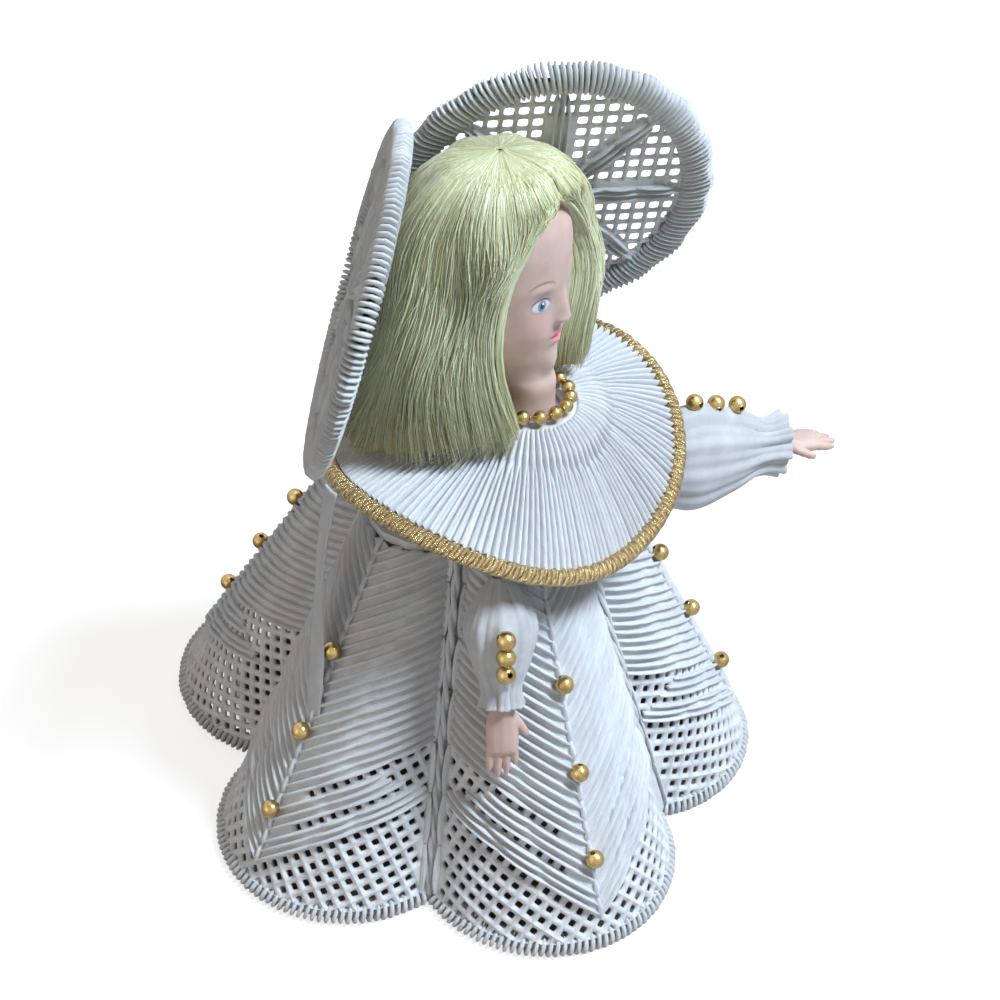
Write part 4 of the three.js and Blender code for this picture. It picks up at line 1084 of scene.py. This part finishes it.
def headMesh():
    cols, rows = 144, 130
    share = np.linspace(0, 1, rows)
    table = curveThrough(headSections, share)
    angle = ringTurns(cols)
    angle = angle - 0.35 * np.sin(angle)   # closer rows of points on the face
    signed = np.arctan2(np.sin(angle), np.cos(angle))
    x = signed * head["faceWidth"]
    verts, marks = [], []
    for low in head["pegHeights"]:
        verts.append(np.stack([head["peg"] * np.sin(angle), -head["peg"] * np.cos(angle),
                               0 * angle + low], 1))
        marks.append(np.stack([x, 0 * x + low, 0 * x], 1))
    for n in range(rows):
        h = share[n] * head["height"]
        side, depth, forward = table[n]
        relief = faceRelief(x, h) * (np.cos(signed) > 0)
        rx = side * head["side"] + relief
        ry = depth * head["depth"] + relief
        verts.append(np.stack([rx * np.sin(angle), -ry * np.cos(angle) - forward * head["depth"],
                               0 * angle + h], 1))
        marks.append(np.stack([x, 0 * x + h, np.cos(signed)], 1))
    verts, marks = np.concatenate(verts), np.concatenate(marks)
    count = rows + 2
    faces = gridFaces(count, cols, wrap=True)
    faces.append(tuple(range(cols - 1, -1, -1)))
    faces.append(tuple(range((count - 1) * cols, count * cols)))
    return verts, marks, faces


def skinMaterial(withFace):
    mat, tree, shader = newMaterial("skinVinyl" + ("Face" if withFace else "Hand"))
    place = ownPlace(tree)
    soft = noiseAt(tree, place, 140.0, 2.0)
    pore = noiseAt(tree, place, 3800.0, 3.0)
    color = ramp(tree, soft, [(0.3, (0.57, 0.41, 0.355)), (0.7, (0.66, 0.49, 0.43))])
    rough = remap(tree, soft, toLow=0.42, toHigh=0.55)
    if withFace:
        mark = readAttribute(tree, "facePos", "Vector")
        apart = put(tree, "ShaderNodeSeparateXYZ", {0: mark})
        ax = calc(tree, "ABSOLUTE", apart.outputs[0])
        mirrored = joinXYZ(tree, ax, apart.outputs[1], 0.0)
        plain = joinXYZ(tree, apart.outputs[0], apart.outputs[1], 0.0)

        def oval(vector, x, y, rx, ry, edge=0.25):
            away = vectorMath(tree, "SUBTRACT", vector, (x, y, 0)).outputs[0]
            scaled = vectorMath(tree, "MULTIPLY", away, (1 / rx, 1 / ry, 0)).outputs[0]
            length = vectorMath(tree, "LENGTH", scaled).outputs["Value"]
            return remap(tree, length, 1 - edge, 1 + edge, 1.0, 0.0, "SMOOTHSTEP")

        def crescent(x, y, rx, ry, drop, edge=0.12):
            cut = calc(tree, "SUBTRACT", 1.0, oval(mirrored, x, y - drop, rx * 1.04, ry, edge))
            return calc(tree, "MULTIPLY", oval(mirrored, x, y, rx, ry, edge), cut)

        inFront = calc(tree, "GREATER_THAN", apart.outputs[2], 0.2)
        coats = [
            (oval(mirrored, 9.4, 28.3, 5.0, 4.2, 0.9), (0.72, 0.33, 0.32), 0.28),
            (oval(mirrored, 7.7, 36.3, 3.5, 2.2, 0.6), (0.42, 0.34, 0.42), 0.5),
            (oval(mirrored, 7.7, 34.9, 2.75, 1.4, 0.10), (0.72, 0.74, 0.78), 1.0),
            (oval(mirrored, 7.5, 34.9, 1.35, 1.38, 0.10), (0.16, 0.29, 0.42), 1.0),
            (oval(mirrored, 7.5, 34.9, 0.62, 0.7, 0.12), (0.02, 0.02, 0.03), 1.0),
            # painted highlight: a white catchlight dot in each eye
            (oval(mirrored, 7.15, 35.4, 0.28, 0.3, 0.2), (1.0, 1.0, 1.0), 1.0),
            (crescent(7.8, 35.15, 3.1, 1.75, 0.45), (0.13, 0.07, 0.05), 0.95),
            (crescent(8.0, 39.8, 3.9, 1.9, 0.5), (0.30, 0.17, 0.10), 0.85),
            (oval(plain, 0, 24.75, 3.3, 0.95, 0.2), (0.78, 0.24, 0.28), 0.9),
            (oval(plain, 0, 22.9, 2.8, 1.1, 0.2), (0.84, 0.32, 0.35), 0.9),
            (oval(plain, 0, 23.9, 3.2, 0.22, 0.4), (0.40, 0.09, 0.10), 0.8),
        ]
        for mask, paint, weight in coats:
            factor = calc(tree, "MULTIPLY", calc(tree, "MULTIPLY", mask, weight), inFront)
            color = mixColor(tree, factor, color, paint)
    feed(tree, shader, {
        "Base Color": color, "Roughness": rough, "Subsurface Weight": 0.35, "Subsurface Scale": 0.003,
        "Subsurface Radius": (1.0, 0.4, 0.25), "Normal": bump(tree, pore, 0.00003),
    })
    return mat


headVerts, headMarks, headFaces = headMesh()
face = meshPiece("doll_face", headPlace(headVerts), headFaces, skinMaterial(True))
face.data.attributes.new("facePos", "FLOAT_VECTOR", "POINT").data.foreach_set(
    "vector", headMarks.astype(np.float32).ravel())
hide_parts("head")
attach(face, "doll_head")
print("head ready")


# hair
hair = {"top": 189.0, "sideBottom": 126.5, "backDrop": 4.4, "farRise": 7.0, "radius": 25.0, "shift": 10.0,
        "lock": 0.035, "nearFlare": 0.16, "farTuck": 0.06, "openHalf": 16.0, "openTop": 180.0, "tips": 6.0,
        "nearOpen": 0.4, "nearOpenHeight": 149.0, "tail": 0.34, "tailTurn": -2.11, "tailDrop": 6.0,
        "puff": 0.2, "puffTurn": 1.05, "puffHeight": 0.42, "wave": 0.022, "wingRoom": 3.0,
        "capeRoom": 3.6, "give": 0.4, "swivel": (-10.0, 0.0, 30.0)}
hairYarns = {"locks": {"count": 1150, "width": 1.6, "height": 0.55},
             "fine": {"count": 2200, "width": 0.42, "height": 0.26},
             "lining": {"count": 420, "width": 1.1, "height": 0.5}}
hairShell = {"rows": 84, "cols": 150, "inward": [0.66, 0.78, 0.9], "fromFace": 0.03, "sink": 1.0,
             "spare": 0.6, "depth": 0.955}
hairFall = {"points": 14, "wave": 0.085, "wild": 0.014, "drift": 0.07, "shortShare": 0.15}
hairSections = [[0, 1.1], [0.18, 1.09], [0.38, 1.06], [0.56, 1.01], [0.7, 0.94], [0.82, 0.8], [0.91, 0.62],
                [0.97, 0.38], [1, 0.03]]


def hairSpot(angle, share, depth=1.0, sink=0.0):
    angle, share, depth = np.broadcast_arrays(np.asarray(angle, float), share, depth)
    back = np.maximum(0, -np.cos(angle)) ** 2
    far = np.maximum(0, np.sin(angle)) ** 2
    near = np.maximum(0, -np.sin(angle)) ** 2
    bottom = hair["sideBottom"] - hair["backDrop"] * back + hair["farRise"] * far - head["seat"]
    height = bottom + (hair["top"] - head["seat"] - sink - bottom) * share
    size = curveThrough(hairSections, np.clip(share, 0, 1))[..., 0]
    lock = 1 + hair["lock"] * np.cos(8 * angle + 4 * share)
    signed = nearTurn(angle)
    fromTail = nearTurn(angle - hair["tailTurn"])
    tail = bell(fromTail, 0.45) * np.clip(1 - share, 0, 1.1) ** 2.2
    puff = bell(signed - hair["puffTurn"], 0.55) * bell(share - hair["puffHeight"], 0.34)
    waves = hair["wave"] * np.sin(5 * angle + 9 * share) * smooth(share, 0.95, 0.6)
    sweep = 1 + (1 - share) ** 2 * (hair["nearFlare"] * near - hair["farTuck"] * far)
    sweep = sweep + hair["tail"] * tail + hair["puff"] * puff + waves
    fromFace = np.maximum(np.abs(signed) - openingAngle(share, signed < 0), 0)
    tuck = 1 - 0.2 * bell(fromFace, 0.3) * smooth(share, 1.0, 0.75)
    radius = hair["radius"] * size * lock * depth * sweep * tuck
    return np.stack([radius * np.sin(angle), hair["shift"] - radius * np.cos(angle),
                     height - hair["tailDrop"] * tail], -1)


def openingAngle(share, near):
    # how far from the front the hair must stay at this height
    height = hair["sideBottom"] + (hair["top"] - hair["sideBottom"]) * np.maximum(share, 0)
    wide = hair["openHalf"] * np.sqrt(np.clip((hair["openTop"] - height) / hair["openHalf"], 0, 1))
    size = curveThrough(hairSections, np.clip(share, 0, 1))[..., 0] * hair["radius"]
    extra = hair["nearOpen"] * bell(height - hair["nearOpenHeight"], 24.0)
    return np.arcsin(np.clip(wide / size, 0, 0.9)) + extra * near


def capeHeight(place):
    # height of the cape under each place, found from its distance to the cape's two centres
    share = np.full(len(place), 0.5)
    for _ in range(4):
        away = place - bodyAxis - (rimAxis - bodyAxis) * share[:, None]
        turn = np.arctan2(away[:, 1], away[:, 0])
        rim = np.hypot(*(capePoint(turn, 1.0) - rimAxis)[:, :2].T)
        distance = np.hypot(away[:, 0], away[:, 1])
        share = np.clip((distance - cape["collar"]) / (rim - cape["collar"]), 0, 1.15)
    return capePoint(turn, share)[:, 2] + 0.7 * smooth(share, 0.93, 1.0)


def leaveRoom(place, spare=0.0):
    # the hair keeps off the wings and the cape over the whole swivel of the head
    for degrees in hair["swivel"]:
        c, s = math.cos(math.radians(degrees)), math.sin(math.radians(degrees))
        swivel = np.array([[c, s, 0], [-s, c, 0], [0, 0, 1]])
        moved = (place - bodyAxis) @ swivel + bodyAxis
        for name, side in (("left", 1), ("right", -1)):
            f = wingFrame(name, side)
            off = moved - f[0]
            short = (hair["wingRoom"] + spare - side * (off @ f[3])) / hair["give"]
            push = hair["give"] * np.log1p(np.exp(np.clip(short, -30, 40)))
            push *= smooth(np.hypot(off @ f[1], off @ f[2]), wing["outer"] + 3.5, wing["outer"])
            moved = moved + side * push[:, None] * f[3]
        moved[:, 2] = np.maximum(moved[:, 2], capeHeight(moved) + hair["capeRoom"] + spare)
        place = (moved - bodyAxis) @ swivel.T + bodyAxis
    return place


def hairCap():
    # the smooth shell below the strands: its rows end in a turned-in edge beside the face
    inward, cols, sink = hairShell["inward"], hairShell["cols"], hairShell["sink"]
    width = cols + 2 * len(inward)

    def edges(share):
        return [float(openingAngle(share, near)) + hairShell["fromFace"] for near in (0, 1)]

    rows = []
    far, near = edges(0.0)
    for d in inward:
        angle = np.concatenate([[far] * 3, np.linspace(far, 2 * math.pi - near, cols), [-near] * 3])
        under = d * hairShell["depth"]
        deep = np.concatenate([inward, np.full(cols, under), inward[::-1]])
        rows.append(hairSpot(angle, np.full(width, 0.0), np.minimum(deep, under)))
    for share in np.linspace(0.0, 0.999, hairShell["rows"]):
        far, near = edges(share)
        angle = np.linspace(far, 2 * math.pi - near, cols)
        groove = hairShell["depth"] + 0.02 * np.sin(angle * 41 + 3 * math.sin(share * 7))
        groove = groove + 0.01 * np.sin(angle * 97)
        row = [hairSpot(far, share, d, sink) for d in inward]
        row += list(hairSpot(angle, np.full(cols, share), groove, sink))
        row += [hairSpot(-near, share, d, sink) for d in inward[::-1]]
        rows.append(np.array(row))
    place = leaveRoom(headPlace(np.concatenate(rows)), hairShell["spare"])
    faces = gridFaces(len(rows), width)
    faces.append(tuple(range((len(rows) - 1) * width, len(rows) * width)))
    return meshPiece("hair_cap", place, faces, hairUnder)


def hairStrands(count, depthLow, depthHigh, wild, edge=False):
    # an edge strand hangs beside the face, on the inner side of the hair
    places, rest = [], []
    t = np.linspace(0, 1, hairFall["points"])
    for _ in range(count):
        angle0 = rng.uniform(0, 2 * math.pi)
        if edge:
            angle0 = rng.choice([0.1, 0.1, -0.1])
        signed = nearTurn(angle0)
        start = rng.uniform(0.97, 1.0)
        clump = 0.5 + 0.5 * math.sin(19 * angle0 + 2 * math.sin(5 * angle0))
        stop = 0.16 * clump * rng.random() + rng.uniform(-0.02, 0.04)
        if rng.random() < hairFall["shortShare"]:
            stop = rng.uniform(0.1, 0.4)
        share = start + (stop - start) * t**1.5
        wave = hairFall["wave"] * np.sin(t * 11 + 3 * angle0) * t
        wave = wave + rng.normal(0, hairFall["wild"]) * np.sin(t * 8) * wild
        drift = rng.normal(0, hairFall["drift"]) * t
        side = 1 if signed >= 0 else -1
        spread = abs(signed) + side * (wave + drift)
        crown = smooth(share, 0.78, 0.9)
        low = openingAngle(share, side < 0) + (0.05 + 0.1 * rng.random()) * (1 - crown) - 0.06 * crown
        soft = low + np.log1p(np.exp((spread - low) * 7)) / 7
        angle = side * np.minimum(soft, math.pi + 0.3)
        depth = rng.uniform(depthLow, depthHigh) + 0.02 * np.sin(t * 11 + 7 * angle0)
        depth = depth + 0.006 * np.sin(t * 9 + rng.uniform(0, 6)) * wild
        if edge:
            depth = 1 - (1 - depth) * smooth(share, 1.0, 0.85)
            angle = side * (openingAngle(share, side < 0) + 0.015 - 0.05 * rng.random())
        place = hairSpot(angle, share, depth)
        hang = hair["tips"] * smooth(t, 0.75, 1.0) * (0.4 + 0.6 * max(0, -math.sin(angle[-1])))
        place[:, 2] -= hang * rng.random()
        radial = unit(np.stack([np.sin(angle), -np.cos(angle), 0.3 + 0 * angle], -1))
        if edge:
            toFace = np.stack([-side * np.cos(angle), -side * np.sin(angle), 0 * angle], -1)
            radial = unit(toFace + 0.2 * radial)
        taper = np.interp(t, [0, 0.1, 0.75, 1], [0.6, 1, 0.9, 0.12])
        places.append(headPlace(place))
        rest.append((radial, taper, rng.random()))
    places = leaveRoom(np.concatenate(places)).reshape(count, len(t), 3)
    return [strand(place, *others) for place, others in zip(places, rest)]


def hairPiece(name, kind, sides, *laid):
    yarn = hairYarns[kind]
    return yarnPiece(name, hairStrands(yarn["count"], *laid), yarn["width"], yarn["height"], sides,
                     hairStrand)


cap = hairCap()
locks = hairPiece("hair_locks", "locks", 5, 0.95, 0.99, 0.6)
loose = [hairPiece("hair_fine_%d" % n, "fine", 3, 0.97, 1.0 + 0.02 * n, n) for n in (1, 2)]
lining = hairPiece("hair_lining", "lining", 5, 0.64, 1.0, 1, True)
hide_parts("hair")
for piece in [cap, locks, lining] + loose:
    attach(piece, "doll_head")
print("hair ready")


# arms
arms = {
    "left": {"turn": -40.0, "pitch": -4.0, "length": 44.0, "height": 15.0, "width": 9.5,
             "reach": 45.993, "up": 88.0, "folds": 9, "gather": 0.06, "hand": (1.3, 1.2),
             "lifted": 0.12, "plump": 0.35},
    "right": {"turn": -145.0, "pitch": -68.006, "length": 30.0, "height": 7.0, "width": 8.0,
              "reach": 41.512, "up": 95.0, "folds": 8, "gather": 0.16, "hand": (1.5, 1.15),
              "lifted": 0.0, "plump": 0.25},
}
sleeve = {"rows": 96, "cols": 168, "narrowest": 3.9, "thick": 0.5, "beadRadius": 2.4, "begin": 1.8,
          "even": 0.045, "cuffFolds": 0.11, "cuffAt": 0.88, "topFolds": 0.05, "sag": 0.02, "hang": 0.8,
          "ridge": 1.7, "turnedEnds": 3}
hand = {"voxel": 0.28, "relaxed": 5, "relaxShare": 0.5}
sleeveSections = [[0, 0.62], [0.22, 1.0], [0.6, 0.82], [0.88, 0.51], [1, 0.6]]


def armPlace(arm, p):
    p = np.asarray(p, float)
    a, b = math.radians(arm["turn"]), math.radians(arm["pitch"])
    flat = np.stack([p[..., 0] * math.cos(b) - p[..., 2] * math.sin(b), p[..., 1],
                     p[..., 0] * math.sin(b) + p[..., 2] * math.cos(b)], -1)
    out = np.stack([flat[..., 0] * math.cos(a) - flat[..., 1] * math.sin(a),
                    flat[..., 0] * math.sin(a) + flat[..., 1] * math.cos(a), flat[..., 2]], -1)
    pivot = np.array([arm["reach"] * math.cos(a), arm["reach"] * math.sin(a), arm["up"]])
    return out + pivot + skirtAxis


def sleeveCloth(name, arm):
    rows, cols = sleeve["rows"], sleeve["cols"]
    share = np.linspace(-arm["gather"], 1, rows)
    size = curveThrough(sleeveSections, np.maximum(share, 0))[:, 0]
    angle = ringTurns(cols)
    verts, uv = [], []
    phases = rng.uniform(0, 6, 4)
    for n in range(rows):
        s = share[n]
        gather = sleeve["even"] + sleeve["cuffFolds"] * bell(s - sleeve["cuffAt"], 0.16)
        gather = gather + sleeve["topFolds"] * bell(s, 0.14) + sleeve["topFolds"] * smooth(s, 0.9, 1)
        fold = np.cos(arm["folds"] * angle + phases[0] + 0.5 * np.sin(s * 4))
        crease = np.cos((arm["folds"] * 2 + 3) * angle + phases[1] + 2 * s)
        sag = sleeve["sag"] * np.sin(3 * angle + phases[2] + 6 * s)
        f = 1 + gather * (0.7 * np.sign(fold) * abs(fold) ** 0.8 + 0.35 * crease) + sag
        drawn = 0.32 + 0.68 * smooth(s, -arm["gather"], 0.05) ** 0.6
        up = np.maximum(sleeve["narrowest"], arm["height"] * size[n]) * f * drawn
        side = np.maximum(sleeve["narrowest"], arm["width"] * size[n]) * f * drawn
        x = sleeve["begin"] + (arm["length"] - sleeve["begin"]) * s
        top = np.arctan2(np.sin(angle), np.cos(angle))
        hang = -sleeve["hang"] * math.sin(math.pi * max(0, s)) * (1 - np.cos(angle)) / 2
        ridge = sleeve["ridge"] * bell(top, 0.3) * smooth(s, 0.05, 0.2) * smooth(s, 0.85, 0.7)
        under = 1 - arm["lifted"] * np.maximum(0, -np.cos(angle)) * smooth(s, 0.9, 0.6)
        verts.append(np.stack([0 * angle + x, side * np.sin(angle),
                               up * np.cos(angle) * under + hang + ridge], 1))
        uv.append(np.stack([angle / 6.2832 * 1.4, 0 * angle + s], 1))
    place = armPlace(arm, np.concatenate(verts))
    piece = meshPiece("sleeve_satin_" + name, place, gridFaces(rows, cols, wrap=True), satinCloth,
                      np.concatenate(uv))
    thicken(piece, sleeve["thick"])
    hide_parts("sleeve_" + name)
    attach(piece, name + "_arm")


def softHand(name, arm, mat):
    source = nodes["hand_" + name]
    piece = addObject("hand_soft_" + name, source.data.copy())
    piece.data.materials.clear()
    piece.data.materials.append(mat)
    remesh = piece.modifiers.new("remesh", "REMESH")
    remesh.mode = "VOXEL"
    remesh.voxel_size = hand["voxel"] * mm
    relax = piece.modifiers.new("relax", "SMOOTH")
    relax.iterations = hand["relaxed"]
    relax.factor = hand["relaxShare"]
    made = keepResult(piece)
    made.polygons.foreach_set("use_smooth", np.ones(len(made.polygons), bool))
    # the hand is a little longer and wider than its solid, measured from the wrist
    wrist = armPlace(arm, np.array([arm["length"], 0.0, 0.0]))
    along = unit(armPlace(arm, np.array([arm["length"] + 1, 0.0, 0.0])) - wrist)
    plump = np.array([v.normal for v in made.vertices]) * arm["plump"]
    spots = np.array([v.co for v in made.vertices]) / mm + plump - wrist
    ahead = (spots @ along)[:, None]
    run = ahead * along
    spots = np.where(ahead > 0, run * arm["hand"][0] + (spots - run) * arm["hand"][1], spots)
    made.vertices.foreach_set("co", ((spots + wrist) * mm).astype(np.float32).ravel())
    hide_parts("hand_" + name)
    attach(piece, name + "_arm")


handSkin = skinMaterial(False)
for name, arm in arms.items():
    sleeveCloth(name, arm)
    softHand(name, arm, handSkin)
    beads = ["sleeve_bead_%s_%d" % (name, i + 1) for i in range(3)]
    spots = [nodeCentre(b) for b in beads]
    way = unit(spots[-1] - spots[0])
    facings = [unit(np.cross(way, [0, 0, 1.0]) + rng.normal(0, 0.2, 3)) for _ in beads]
    beadPiece("sleeve_beads_" + name, spots, facings, sleeve["beadRadius"], name + "_arm", beads)
print("arms ready")


# ribbon behind the right side
ribbon = {"halfWidth": 2.3, "topTurn": 147.0, "knotOut": 2.5 + 2.9, "thick": 0.45, "twist": 0.35,
          "rows": 70, "cols": 13, "curl": 0.22, "ripple": 0.06,
          "route": [[157, 49, 97], [158, 51, 82], [160, 53.4, 66], [162, 56.7, 49.8]]}


def ribbonPiece():
    turn = math.radians(ribbon["topTurn"])
    knot = capePoint(turn, 1.0, cape["thick"] / 2) + polar(ribbon["knotOut"], turn, 0.0)
    route = np.array([knot] + [polar(r, math.radians(d), float(h)) + skirtAxis
                               for d, r, h in ribbon["route"]])
    rows, cols = ribbon["rows"], ribbon["cols"]
    line = curveThrough(np.column_stack([np.arange(len(route)), route]), np.linspace(0, len(route) - 1, rows))
    verts, uv = [], []
    for n, p in enumerate(line):
        s = n / (rows - 1)
        out = unit((p - skirtAxis) * [1, 1, 0])
        twist = ribbon["twist"] * math.sin(s * 5) * math.sin(math.pi * s)
        wide = np.cross([0, 0, 1.0], out) * math.cos(twist) + out * math.sin(twist)
        for c in range(cols):
            q = c / (cols - 1) * 2 - 1
            curl = ribbon["curl"] * (1 - q * q) + ribbon["ripple"] * math.sin(s * 60 + q * 3)
            verts.append(p + wide * q * ribbon["halfWidth"] + out * (curl - 0.1))
            uv.append((c / cols * 0.1, s))
    piece = meshPiece("satin_ribbon", np.array(verts), gridFaces(rows, cols), satinCloth, uv)
    thicken(piece, ribbon["thick"])
    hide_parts("back_ribbon")
    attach(piece, "doll_body")


ribbonPiece()

# the pieces that the scene carries over from the frame as they are
carried = {canvasBars: ("waist_disc", "bodice_tube"),
           stemFuzz: ("shoulder_wire_left", "shoulder_wire_right", "arm_wire_left", "arm_wire_right")}
for mat, names in carried.items():
    for name in names:
        for slot in nodes[name].material_slots:
            slot.material = mat
bpy.data.objects.remove(beadShape)
print("ribbon and carried pieces ready")


# stage, lights and camera
def stageFloor():
    # pale in the picture; under the skirt's five lobes it is painted dark, as painted shade for the unlit
    # inside of the skirt seen through the holes
    size = {"half": 2.5, "rows": 40, "dark": 0.055, "lobes": 0.024, "edge": 0.006}
    half = size["half"]
    rows = [[(x, y, 0.0) for x in (-half, 0, half)] for y in np.linspace(-half, half, size["rows"])]
    verts = np.array(rows).reshape(-1, 3) / mm
    mat, tree, shader = newMaterial("paleFloor")
    place = ownPlace(tree)
    grain = noiseAt(tree, place, 60.0, 3.0)
    color = ramp(tree, grain, [(0.3, (0.46, 0.45, 0.44)), (0.7, (0.50, 0.49, 0.48))])
    apart = put(tree, "ShaderNodeSeparateXYZ", {0: place})
    east = calc(tree, "SUBTRACT", apart.outputs[0], float(skirtAxis[0]) * mm)
    north = calc(tree, "SUBTRACT", apart.outputs[1], float(skirtAxis[1]) * mm)
    away = vectorMath(tree, "LENGTH", joinXYZ(tree, east, north, 0.0)).outputs["Value"]
    turn = calc(tree, "SUBTRACT", calc(tree, "ARCTAN2", north, east), math.pi / 2)
    wave = calc(tree, "ABSOLUTE", calc(tree, "COSINE", calc(tree, "MULTIPLY", turn, 2.5)))
    rim = calc(tree, "ADD", calc(tree, "MULTIPLY", wave, size["lobes"]), size["dark"])
    clear = remap(tree, calc(tree, "SUBTRACT", away, rim), -size["edge"], 0.0, kind="SMOOTHSTEP")
    far = remap(tree, away, 0.15, 0.5, 0.72, 1.1, "SMOOTHSTEP")
    # painted shade: dark brown under the skirt's lobes, where the floor also gets no camera glow
    color = mixColor(tree, clear, (0.20, 0.16, 0.145), color)
    lift = calc(tree, "MULTIPLY", put(tree, "ShaderNodeLightPath").outputs["Is Camera Ray"], far)
    feed(tree, shader, {"Base Color": color, "Roughness": 0.9, "Emission Color": (1, 1, 1, 1),
                             "Emission Strength": calc(tree, "MULTIPLY", lift, clear)})
    floor = meshPiece("floor", verts, gridFaces(size["rows"], 3), mat)


stageFloor()
world = bpy.data.worlds.new("world")
bpy.context.scene.world = world
world.use_nodes = True
tree = world.node_tree
tree.nodes.clear()
seen = put(tree, "ShaderNodeLightPath")
direct = calc(tree, "MAXIMUM", seen.outputs["Is Camera Ray"],
              calc(tree, "MAXIMUM", seen.outputs["Is Glossy Ray"], seen.outputs["Is Transmission Ray"]))
dim = put(tree, "ShaderNodeBackground", {"Color": (0.95, 0.92, 0.88, 1), "Strength": 0.19})
white = put(tree, "ShaderNodeBackground", {"Color": (1, 1, 1, 1), "Strength": 1.0})
both = put(tree, "ShaderNodeMixShader", {0: direct, 1: dim.outputs[0], 2: white.outputs[0]})
tree.links.new(both.outputs[0], put(tree, "ShaderNodeOutputWorld").inputs[0])


def softLight(name, place, target, size, power, color):
    data = bpy.data.lights.new(name, "AREA")
    data.shape = "DISK"
    data.size = size
    data.energy = power
    data.color = color
    lamp = addObject(name, data)
    lamp.location = place
    lamp.rotation_euler = (Vector(target) - Vector(place)).to_track_quat("-Z", "Y").to_euler()


aim = (0.0, -0.01, 0.09)
softLight("windowKey", (0.10, -0.58, 1.05), aim, 0.3, 16.5, (0.76, 0.88, 1.0))
softLight("skyTop", (0.25, 0.0, 1.1), aim, 0.7, 2.0, (0.92, 0.96, 1.0))
softLight("warmFill", (-0.8, 0.3, 0.3), aim, 0.7, 1.2, (1.0, 0.84, 0.68))

view = {"place": (-326.74, -175.55, 378.3), "forward": (0.7054, 0.3440, -0.6198),
        "level": (0.43837, -0.89879, 0.0), "roll": 2.7, "lens": 64.8, "sensor": 36}
camData = bpy.data.cameras.new("photoCamera")
camera = addObject("photoCamera", camData)
forward = Vector(view["forward"]).normalized()
level = Vector(view["level"])
above = level.cross(forward)
roll = math.radians(view["roll"])
right = level * math.cos(roll) + above * math.sin(roll)
up = right.cross(forward)
turn = Matrix((right, up, -forward)).transposed()
camera.matrix_world = Matrix.Translation(Vector(view["place"]) * mm) @ turn.to_4x4()
camData.sensor_width = view["sensor"]
camData.lens = view["lens"]
camData.clip_start = 0.01
scene = bpy.context.scene
scene.camera = camera
scene.view_settings.view_transform = "Standard"
print("stage ready")
